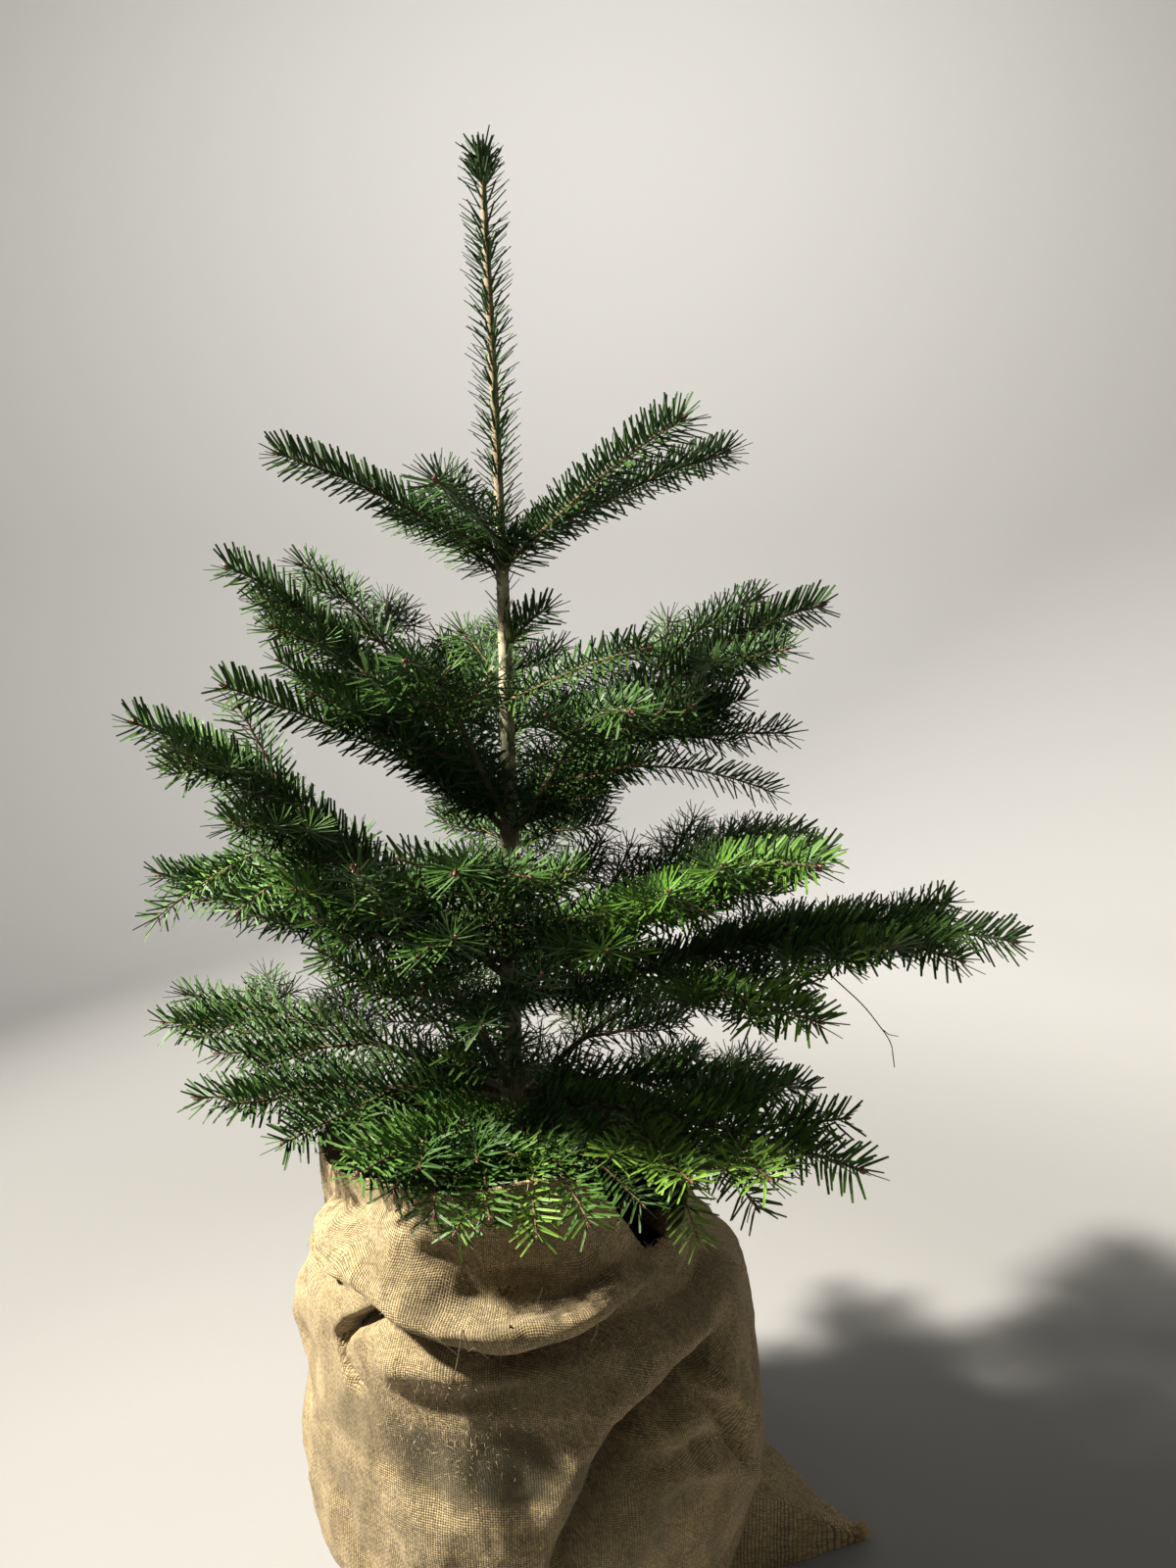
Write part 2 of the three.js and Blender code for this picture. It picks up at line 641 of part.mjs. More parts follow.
const sack = sackSolid();
const leader = leaderSolid();
const clearedTrunk = solidOf(trunkRod(GAP));
addPiece('trunk', solidOf(trunkRod(0)), bark);
addPiece('leader_needles', outerBody(leader.subtract(clearedTrunk)), greenOf(1));
addPiece('sack', sack, jute);
addPiece('root_ball', ballSolid(), soil);
growCrown(clearedTrunk, [leader, sack]).forEach((piece, i) => {
  if (piece.limb) addPiece(`${piece.name}_bough`, piece.limb, twigBark);
  addPiece(`${piece.name}_needles`, piece.mass, greenOf(i));
});

export default tree;
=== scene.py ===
"""A young living fir in a loose jute sack: its look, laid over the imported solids.

The growth is worked out in millimetres, as in the solids, and meshes are laid down in metres. +Z is up and
the side that the tree is looked at from is -Y. Bearings are in degrees round +Z: 0 is right, 90 is back.
"""

import logging
import math
from dataclasses import astuple, dataclass, field
from enum import Enum
from functools import reduce
from typing import Iterable, Protocol, Sequence

import bpy
import numpy as np
from mathutils import Matrix


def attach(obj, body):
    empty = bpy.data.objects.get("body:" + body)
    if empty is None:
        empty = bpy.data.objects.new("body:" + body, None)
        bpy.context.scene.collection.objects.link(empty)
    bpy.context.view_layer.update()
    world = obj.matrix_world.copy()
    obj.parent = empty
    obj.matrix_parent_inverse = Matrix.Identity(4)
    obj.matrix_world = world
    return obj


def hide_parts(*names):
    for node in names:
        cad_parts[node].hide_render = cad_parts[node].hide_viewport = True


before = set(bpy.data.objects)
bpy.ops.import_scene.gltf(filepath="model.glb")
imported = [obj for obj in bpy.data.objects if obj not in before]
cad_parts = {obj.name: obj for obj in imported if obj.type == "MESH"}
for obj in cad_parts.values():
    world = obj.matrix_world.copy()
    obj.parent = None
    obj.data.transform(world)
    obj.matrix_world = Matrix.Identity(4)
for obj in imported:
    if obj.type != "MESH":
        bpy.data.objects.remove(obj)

Array = np.ndarray
Generator = np.random.Generator
Material = bpy.types.Material
Piece = bpy.types.Object
Socket = bpy.types.NodeSocket
Pair = tuple[float, float]
Triple = tuple[float, float, float]

LOG = logging.getLogger("fir")
METRES = 0.001
GOLDEN_TURN = 137.508
ROOT_BODY = "root"
X_AXIS = np.array([1.0, 0.0, 0.0])
Y_AXIS = np.array([0.0, 1.0, 0.0])
Z_AXIS = np.array([0.0, 0.0, 1.0])


# Numbers and noise


class SeededNumbers:
    """Numbers from 0 to 1 in the same run as the solids draw them."""

    def __init__(self, seed: int) -> None:
        """Start the run from a whole number, one for each bough."""
        self.state = (seed * 2654435761) & 0xFFFFFFFF

    def next(self) -> float:
        """Return the next number of the run."""
        self.state = (self.state * 1664525 + 1013904223) & 0xFFFFFFFF
        return self.state / 4294967296


class SoftNoise:
    """Smooth noise over space, between -1 and 1."""

    def __init__(self, seed: int, cells: int = 32) -> None:
        """Fill the lattice from a seed, with so many cells a side before it repeats."""
        self.cells = cells
        self.lattice = np.random.default_rng(seed).uniform(-1, 1, (cells, cells, cells))

    def at(self, points: Array, pitch: float | Sequence[float]) -> Array:
        """Read the noise.

        Args:
            points: Rows of three coordinates.
            pitch: Size of a cell, one number or one for each axis.

        Returns:
            One value for each point.
        """
        scaled = points / np.asarray(pitch, float)
        low = np.floor(scaled).astype(int)
        part = scaled - low
        part = part * part * (3 - 2 * part)
        total = np.zeros(len(points))
        for corner in range(8):
            step = np.array([corner & 1, corner >> 1 & 1, corner >> 2 & 1])
            weight = np.prod(np.where(step, part, 1 - part), axis=1)
            index = (low + step) % self.cells
            total += weight * self.lattice[index[:, 0], index[:, 1], index[:, 2]]
        return total


def unit(vectors: Array) -> Array:
    """Return the vectors, rows of three, at length one."""
    return vectors / np.maximum(np.linalg.norm(vectors, axis=-1, keepdims=True), 1e-9)


def swelling(bearing: Array, centre: float, width: float) -> Array:
    """Return a swelling from 0 to 1 round a bearing, that reaches a width to each side, in degrees."""
    away = np.abs((bearing - centre + 540) % 360 - 180)
    return np.where(away < width, 0.5 + 0.5 * np.cos(np.pi * np.minimum(away / width, 1)), 0.0)


# Meshes


@dataclass
class Cloth:
    """Points and faces gathered for one piece, in millimetres."""

    points: list[Array] = field(default_factory=list)
    loops: list[Array] = field(default_factory=list)
    sizes: list[Array] = field(default_factory=list)
    slots: list[Array] = field(default_factory=list)
    corners: list[Array] = field(default_factory=list)
    count: int = 0

    def add(self, points: Array, faces: Array, slot: int = 0, corners: Array | None = None) -> None:
        """Add faces that all have as many corners.

        Args:
            points: Rows of three coordinates.
            faces: Rows of point numbers.
            slot: Material of the faces.
            corners: Map coordinates, one pair for each corner of each face.
        """
        self.points.append(np.asarray(points, float))
        self.loops.append((np.asarray(faces) + self.count).ravel())
        self.sizes.append(np.full(len(faces), faces.shape[1]))
        self.slots.append(np.full(len(faces), slot))
        self.corners.append(np.zeros((faces.size, 2)) if corners is None else corners.reshape(-1, 2))
        self.count += len(points)

    def triangles(self) -> int:
        """Return how many triangles the faces make."""
        return int(sum((sizes - 2).sum() for sizes in self.sizes))

    def piece(
        self, name: str, materials: Sequence[Material], smooth: bool = True, ride: bool = True
    ) -> Piece:
        """Lay the faces down as one object.

        Args:
            name: Name of the object.
            materials: Materials, in the order of the faces' slots.
            smooth: Whether the faces are shaded as one curved surface.
            ride: Whether it belongs to the tree and rides on it.

        Returns:
            The object.
        """
        mesh = bpy.data.meshes.new(name)
        points = np.concatenate(self.points) * METRES
        loops = np.concatenate(self.loops).astype(np.int32)
        sizes = np.concatenate(self.sizes)
        mesh.vertices.add(len(points))
        mesh.vertices.foreach_set("co", points.astype(np.float32).ravel())
        mesh.loops.add(len(loops))
        mesh.loops.foreach_set("vertex_index", loops)
        mesh.polygons.add(len(sizes))
        starts = np.concatenate([[0], np.cumsum(sizes)[:-1]])
        mesh.polygons.foreach_set("loop_start", starts.astype(np.int32))
        mesh.polygons.foreach_set("material_index", np.concatenate(self.slots).astype(np.int32))
        mesh.polygons.foreach_set("use_smooth", np.full(len(sizes), smooth))
        layer = mesh.uv_layers.new(name="lay")
        layer.data.foreach_set("uv", np.concatenate(self.corners).astype(np.float32).ravel())
        mesh.update(calc_edges=True)
        mesh.validate()
        for material in materials:
            mesh.materials.append(material)
        made = bpy.data.objects.new(name, mesh)
        bpy.context.scene.collection.objects.link(made)
        if ride:
            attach(made, ROOT_BODY)
        return made


def grid_faces(rows: int, columns: int, closed: bool) -> Array:
    """Number the faces of a grid of points.

    Args:
        rows: Rows of points.
        columns: Points in each row.
        closed: Whether the last column joins the first.

    Returns:
        Rows of four point numbers.
    """
    across = np.arange(columns if closed else columns - 1)
    down = np.arange(rows - 1)[:, None] * columns
    nearer = down + across
    next_across = down + (across + 1) % columns
    return np.stack([nearer, next_across, next_across + columns, nearer + columns], axis=-1).reshape(-1, 4)


def turns(count: int) -> Array:
    """Return so many angles spread round a full turn, in radians."""
    return np.arange(count) / count * 2 * np.pi


def level(turn: float) -> Array:
    """Return the level direction at an angle in radians."""
    return np.array([math.cos(turn), math.sin(turn), 0])


def ring_points(radius: Array | float, turn: Array, height: Array) -> Array:
    """Return points round +Z, at a radius, a turn in radians and a height."""
    return np.stack(np.broadcast_arrays(radius * np.cos(turn), radius * np.sin(turn), height), axis=-1)


def read_rows(at: Array, knots: Array, rows: Array) -> Array:
    """Return rows of numbers read at places between their knots."""
    return np.stack([np.interp(at, knots, column) for column in rows.T], axis=-1)


def running_length(steps: Array) -> Array:
    """Return the length gone by at each point, from the steps between them."""
    return np.concatenate([np.zeros((1, *steps.shape[1:])), np.cumsum(steps, axis=0)])


# Paths of growth


class Path(Protocol):
    """A line of growth, read at shares 0 to 1 of its length."""

    def at(self, shares: Array) -> Array:
        """Return the points at the shares."""


@dataclass(frozen=True)
class BoughPath:
    """From the trunk's axis to a bough's tip, bowed and swept to one side."""

    start: Array
    tip: Array
    bow: float
    bend: float
    sideways: Array
    sweep: float

    def at(self, shares: Array) -> Array:
        """Read the path.

        Args:
            shares: Shares 0 to 1 of its length.

        Returns:
            The points at the shares.
        """
        share = shares[:, None]
        lift = self.bow * np.sin(np.pi * share**self.bend)
        drift = self.sweep * np.sin(np.pi * share)
        return self.start + (self.tip - self.start) * share + Z_AXIS * lift + self.sideways * drift


@dataclass(frozen=True)
class ShootPath:
    """A side shoot that leaves its parent and turns forward."""

    start: Array
    middle: Array
    end: Array

    def at(self, shares: Array) -> Array:
        """Read the path.

        Args:
            shares: Shares 0 to 1 of its length.

        Returns:
            The points at the shares.
        """
        share = shares[:, None]
        rest = 1 - share
        return self.start * rest**2 + self.middle * 2 * rest * share + self.end * share**2


@dataclass(frozen=True)
class Stretch:
    """The stretch of a path between two shares."""

    path: Path
    first: float
    last: float

    def at(self, shares: Array) -> Array:
        """Return the points at the shares."""
        return self.path.at(self.first + (self.last - self.first) * shares)


@dataclass(frozen=True)
class Polyline:
    """A smooth line through a few points."""

    points: Array

    def at(self, shares: Array) -> Array:
        """Read the path.

        Args:
            shares: Shares 0 to 1 of its length.

        Returns:
            The points at the shares.
        """
        knots = np.linspace(0, 1, len(self.points))
        dense = np.linspace(-0.06, 1.06, 7)[:, None] * 0.9
        spread = np.clip(shares[None, :] + (dense - 0.45) * 0.12, 0, 1)
        return read_rows(spread, knots, self.points).mean(axis=0)


@dataclass(frozen=True)
class Frames:
    """Centres of a path with their directions along, sideways and up."""

    centre: Array
    along: Array
    side: Array
    up: Array


def frames_of(path: Path, shares: Array) -> Frames:
    """Read a path's centres and directions.

    Args:
        path: The path.
        shares: Shares 0 to 1 of its length.

    Returns:
        The frames, one row for each share.
    """
    step, upright = 0.01, 0.98
    ahead = path.at(np.minimum(1, shares + step))
    along = unit(ahead - path.at(np.maximum(0, shares - step)))
    guide = np.where(np.abs(along[:, 2:]) > upright, Y_AXIS, Z_AXIS)
    side = unit(np.cross(along, guide))
    return Frames(path.at(shares), along, side, np.cross(side, along))


def length_of(path: Path, steps: int = 24) -> float:
    """Return the length of a path, in millimetres, measured in steps."""
    points = path.at(np.linspace(0, 1, steps + 1))
    return float(np.linalg.norm(np.diff(points, axis=0), axis=1).sum())


def add_rod(cloth: Cloth, path: Path, radii: Array, sides: int, slot: int = 0) -> None:
    """Add a round rod along a path.

    Args:
        cloth: Where it is added.
        path: Its centre line.
        radii: Radius for each ring, or for each point of each ring.
        sides: Points round it.
        slot: Its material.
    """
    rings = len(radii)
    shares = np.linspace(0, 1, rings)
    at = frames_of(path, shares)
    turn = turns(sides)
    out = at.side[:, None] * np.cos(turn)[:, None] + at.up[:, None] * np.sin(turn)[:, None]
    reach = radii[:, None] if radii.ndim == 1 else radii
    points = (at.centre[:, None] + out * reach[..., None]).reshape(-1, 3)
    faces = grid_faces(rings, sides, True)[:, ::-1]
    number = np.arange(len(faces))[:, None]
    around = np.array([1, 0, 0, 1]) + number % sides
    down = np.array([1, 1, 0, 0]) + number // sides
    mean = float(np.mean(radii))
    corners = np.stack([around / sides * 2 * np.pi * mean, down / (rings - 1) * length_of(path)], axis=-1)
    cloth.add(points, faces, slot, corners * METRES)
    foot = at.centre[0] - at.along[0] * 0.2 * mean
    tip = at.centre[-1] + at.along[-1] * 0.3 * float(np.mean(reach[-1]))
    ends = np.stack([foot, tip])
    ring = np.arange(sides)
    first = np.stack([ring, (ring + 1) % sides, np.full(sides, sides)], axis=-1)
    cloth.add(np.vstack([points[:sides], ends[:1]]), first, slot)
    last = np.stack([(ring + 1) % sides, ring, np.full(sides, sides)], axis=-1)
    cloth.add(np.vstack([points[-sides:], ends[1:]]), last, slot)


def add_crumb(cloth: Cloth, place: Array, size: float, rng: Generator) -> None:
    """Add a crumb of soil.

    Args:
        cloth: Where it is added.
        place: Where it lies.
        size: Its length.
        rng: Numbers for its shape.
    """
    tip = place + unit(rng.normal(0, 1, 3)) * size
    radii = size * rng.uniform(0.55, 1.0, (4, 6)) * np.array([0.45, 0.8, 0.75, 0.3])[:, None]
    add_rod(cloth, ShootPath(place, (place + tip) / 2, tip), radii, 6)


# The rule of growth, as in the solids


@dataclass(frozen=True)
class Bough:
    """Where one bough goes, in degrees and millimetres."""

    side: str
    bearing: float
    reach: float
    rise: float
    step: float


@dataclass(frozen=True)
class Whorl:
    """A ring of boughs at one height of the trunk."""

    name: str
    collar: bool
    height: float
    radius: float
    bare: float
    forks: tuple[float, ...]
    bow: float
    bend: float
    fullness: float
    boughs: tuple[Bough, ...]


WHORLS = (
    Whorl("top", True, 1150, 3, 0, (), 6, 1.6, 1.3, (
        Bough("left", 187, 212, 102, 3),
        Bough("front", 262, 220, 40, 17),
        Bough("front_right", 322, 235, 126, -12),
        Bough("back_right", 22, 275, 106, 8),
        Bough("back_left", 128, 200, 72, -15),
    )),
    Whorl("small", False, 1000, 2.4, 0, (), 5, 1.4, 1.15, (
        Bough("right", 8, 54, 40, 55),
        Bough("front_right", 318, 205, 58, 0),
        Bough("left", 172, 86, 46, -12),
        Bough("lower_left", 204, 276, 140, -112),
        Bough("back_left", 116, 105, 62, 10),
    )),
    Whorl("middle", True, 860, 4.6, 0.2, (0.34, 0.58), 30, 1.7, 1.0, (
        Bough("left", 187, 268, 288, -4),
        Bough("front_left", 253, 215, 188, 5),
        Bough("front_right", 303, 245, 150, -5),
        Bough("right", 352, 335, 230, 4),
        Bough("back_right", 34, 370, 250, -6),
        Bough("back", 92, 300, 215, 6),
        Bough("back_left", 142, 310, 284, 10),
    )),
    Whorl("low", True, 700, 5.4, 0.22, (0.3, 0.5, 0.7), 34, 1.5, 0.96, (
        Bough("left", 197, 362, 300, -6),
        Bough("front", 267, 300, 175, 8),
        Bough("front_right", 316, 398, 184, -6),
        Bough("right", 346, 525, 95, -30),
        Bough("back_right", 30, 420, 105, 6),
        Bough("back", 88, 380, 160, -4),
        Bough("back_left", 160, 438, 68, 13),
    )),
    Whorl("base", True, 552, 5.8, 0.24, (0.38, 0.66), 16, 0.9, 0.92, (
        Bough("left", 190, 330, 34, 2),
        Bough("front_left", 240, 250, 44, -16),
        Bough("front_tall", 245, 262, 310, 12),
        Bough("front", 276, 215, -16, -2),
        Bough("front_right", 324, 415, 40, -4),
        Bough("right", 8, 345, -18, 6),
        Bough("back_right", 52, 390, 50, -6),
        Bough("back", 108, 370, 45, 4),
        Bough("back_left", 156, 458, 58, 12),
    )),
)


class Tint(Enum):
    """The greens that the sprays are dealt, as the order of their materials."""

    DEEP = 0
    DARK = 1
    MIDDLE = 2
    BRIGHT = 3
    YOUNG = 4


@dataclass
class Shoot:
    """One length of stem with its coat of needles."""

    path: Path
    length: float
    root: float
    tip: float
    order: int
    tint: Tint
    bare: float = 0.0
    slim: float = 1.0


@dataclass(frozen=True)
class LooseShoot:
    """A shoot outside the rule: its bough, where it leaves it, its tip, how far it arches, and its green."""

    bough: str
    fork: float
    tip: Triple
    arch: float
    tint: Tint
    order: int = 1
    slim: float = 0.8


LOOSE_SHOOTS = (
    LooseShoot("base_front_left", 0.45, (-98, -200, 553), 16, Tint.DEEP),
    LooseShoot("base_front_left", 0.55, (-56, -226, 541), 20, Tint.DARK),
    LooseShoot("base_front_left", 0.30, (-4, -236, 544), 26, Tint.MIDDLE),
    LooseShoot("base_front", 0.45, (40, -243, 529), 26, Tint.YOUNG, 2),
    LooseShoot("base_front", 0.55, (-36, -240, 531), 22, Tint.BRIGHT, 2),
    LooseShoot("base_front", 0.35, (88, -238, 538), 24, Tint.MIDDLE),
    LooseShoot("base_front", 0.25, (138, -220, 545), 26, Tint.DARK),
    LooseShoot("base_front_right", 0.42, (192, -200, 497), 20, Tint.YOUNG, 2),
    LooseShoot("base_front_right", 0.52, (246, -214, 536), 14, Tint.MIDDLE),
    LooseShoot("middle_right", 0.32, (312, 40, 956), 10, Tint.DARK),
    LooseShoot("middle_right", 0.22, (292, 0, 897), 34, Tint.MIDDLE, 2),
    LooseShoot("low_left", 0.52, (-362, -50, 782), 22, Tint.BRIGHT, 2),
    LooseShoot("low_left", 0.62, (-263, -40, 1003), 4, Tint.DARK),
    LooseShoot("low_left", 0.42, (-246, -140, 812), 30, Tint.MIDDLE),
    LooseShoot("low_left", 0.28, (-176, -100, 745), 26, Tint.DEEP),
    LooseShoot("low_front", 0.35, (-66, -170, 742), 20, Tint.DEEP),
    LooseShoot("low_front", 0.35, (84, -150, 745), 20, Tint.DEEP),
)


@dataclass(frozen=True)
class GrowthRule:
    """How a bough divides into side shoots, and those into finer twigs."""

    fork_angle: float = 46
    fork_angle_vary: float = 0.1
    fork_share: float = 0.46
    fork_share_growth: float = 0.55
    fork_share_vary: float = 0.12
    fork_forward: float = 0.16
    fork_spread: float = 0.12
    fork_droop: float = 0.8
    fork_level: float = 0.4
    fork_radius: float = 2.2
    shoot_tip: float = 1.3
    sweep: float = 12
    shortest: float = 45
    fine_radius: float = 1.3
    fine_tip: float = 0.8
    fine_shortest: float = 33
    fine_reach: float = 0.62
    once_over: float = 70
    once_forks: tuple[float, ...] = (0.45,)
    twice_over: float = 125
    twice_forks: tuple[float, ...] = (0.34, 0.62)
    loose_over: float = 110
    loose_forks: tuple[float, ...] = (0.42,)
    between_reach: float = 0.52
    inner_shares: tuple[float, ...] = (0.1, 0.19)
    inner_shortest: float = 48
    inner_vary: float = 52
    open_middle: float = 8
    open_lean: float = 0.07
    open_near: float = -30
    open_half: float = 30
    open_heights: Pair = (880, 1035)
    open_share: Triple = (1.0, 0.6, 0.25)

    def bough_path(self, whorl: Whorl, bough: Bough, start: Array, numbers: SeededNumbers) -> BoughPath:
        """Lay out a bough.

        Args:
            whorl: Its whorl.
            bough: Its own sizes.
            start: Where it leaves the trunk's axis.
            numbers: The bough's run of numbers.

        Returns:
            Its path.
        """
        bearing = math.radians(bough.bearing)
        tip = level(bearing) * bough.reach + Z_AXIS * (start[2] + bough.rise)
        sideways = np.array([-math.sin(bearing), math.cos(bearing), 0])
        sweep = self.sweep * (2 * numbers.next() - 1)
        return BoughPath(start, tip, whorl.bow, whorl.bend, sideways, sweep)

    def side_path(
        self, parent: Path, share: float, hand: int, length: float, numbers: SeededNumbers
    ) -> ShootPath:
        """Lay out a side shoot that leaves its parent at a fork.

        Args:
            parent: The parent's path.
            share: Where on the parent it starts.
            hand: 1 or -1, the side it leaves on.
            length: Its length.
            numbers: The bough's run of numbers.

        Returns:
            Its path.
        """
        at = frames_of(parent, np.array([share]))
        angle = math.radians(self.fork_angle * (1 + self.fork_angle_vary * (2 * numbers.next() - 1)))
        outward = at.along[0] * math.cos(angle) + at.side[0] * hand * math.sin(angle)
        outward[2] *= self.fork_level
        outward = unit(outward)
        lift = self.fork_spread * (2 * numbers.next() - self.fork_droop)
        end = outward * (1 - self.fork_forward) + at.along[0] * self.fork_forward + at.up[0] * lift
        centre = at.centre[0]
        return ShootPath(centre, centre + outward * length / 2, centre + end * length)

    def side_shoots(self, whorl: Whorl, path: Path, tint: Tint, numbers: SeededNumbers) -> list[Shoot]:
        """Grow the pairs at the forks of a bough.

        Args:
            whorl: The bough's whorl.
            path: The bough's path.
            tint: Green of the bough.
            numbers: The bough's run of numbers.

        Returns:
            The side shoots.
        """
        length = length_of(path)
        shoots = []
        for fork in whorl.forks:
            for hand in (-1, 1):
                share = (self.fork_share + self.fork_share_growth * fork) * (1 - fork)
                reach = share * length * (1 + self.fork_share_vary * (2 * numbers.next() - 1))
                side = self.side_path(path, fork, hand, reach, numbers)
                if reach > self.shortest:
                    shoots.append(Shoot(side, reach, self.fork_radius, 1.1, 1, tint))
        return shoots

    def finer(self, parent: Shoot, forks: Iterable[float], numbers: SeededNumbers) -> list[Shoot]:
        """Carry the rule on to the twigs of a side shoot.

        Args:
            parent: The shoot that divides.
            forks: Where, as shares of its length.
            numbers: A run of numbers for the fine twigs.

        Returns:
            The fine twigs.
        """
        twigs = []
        for fork in forks:
            for hand in (-1, 1):
                reach = self.fine_reach * (1 - fork) * parent.length * (0.8 + 0.4 * numbers.next())
                side = self.side_path(parent.path, fork, hand, reach, numbers)
                if reach > self.fine_shortest:
                    twigs.append(self.twig(side, reach, parent.tint, parent.slim))
        return twigs

    def twig(self, path: Path, reach: float, tint: Tint, slim: float = 1.0) -> Shoot:
        """Return a twig of the finest order on a path."""
        return Shoot(path, reach, self.fine_radius, self.fine_tip, 2, tint, slim=slim)

    def hides_trunk(self, shoot: Shoot) -> bool:
        """Tell whether a shoot stands in the open strip before the trunk.

        Args:
            shoot: The shoot.

        Returns:
            True where too much of it does.
        """
        points = shoot.path.at(np.linspace(0, 1, 20))
        across, depth, height = points.T
        low, high = self.open_heights
        strip = np.abs(across - self.open_middle + depth * self.open_lean) < self.open_half
        before = strip & (depth < self.open_near) & (height > low) & (height < high)
        return bool(before.mean() > self.open_share[shoot.order])

    def fillers(self, whorl: Whorl, main: Shoot, numbers: SeededNumbers) -> list[Shoot]:
        """Grow the shorter shoots between the forks of a bough and on its inner part.

        Args:
            whorl: The bough's whorl.
            main: The bough's main shoot.
            numbers: A run of numbers for the fine twigs.

        Returns:
            The short shoots.
        """
        shoots = []
        gaps = zip(whorl.forks, (*whorl.forks[1:], 0.92))
        for fork in [(low + high) / 2 for low, high in gaps]:
            for hand in (-1, 1):
                share = (self.fork_share + self.fork_share_growth * fork) * (1 - fork)
                reach = self.between_reach * share * main.length * (0.8 + 0.4 * numbers.next())
                side = self.side_path(main.path, fork, hand, reach, numbers)
                if reach > self.fine_shortest:
                    shoots.append(self.twig(side, reach, main.tint))
        for share in self.inner_shares if whorl.bare > 0 else ():
            for hand in (-1, 1):
                reach = self.inner_shortest + self.inner_vary * numbers.next()
                side = self.side_path(main.path, share, hand, reach, numbers)
                shoots.append(self.twig(side, reach, main.tint))
        return shoots


# Finishes


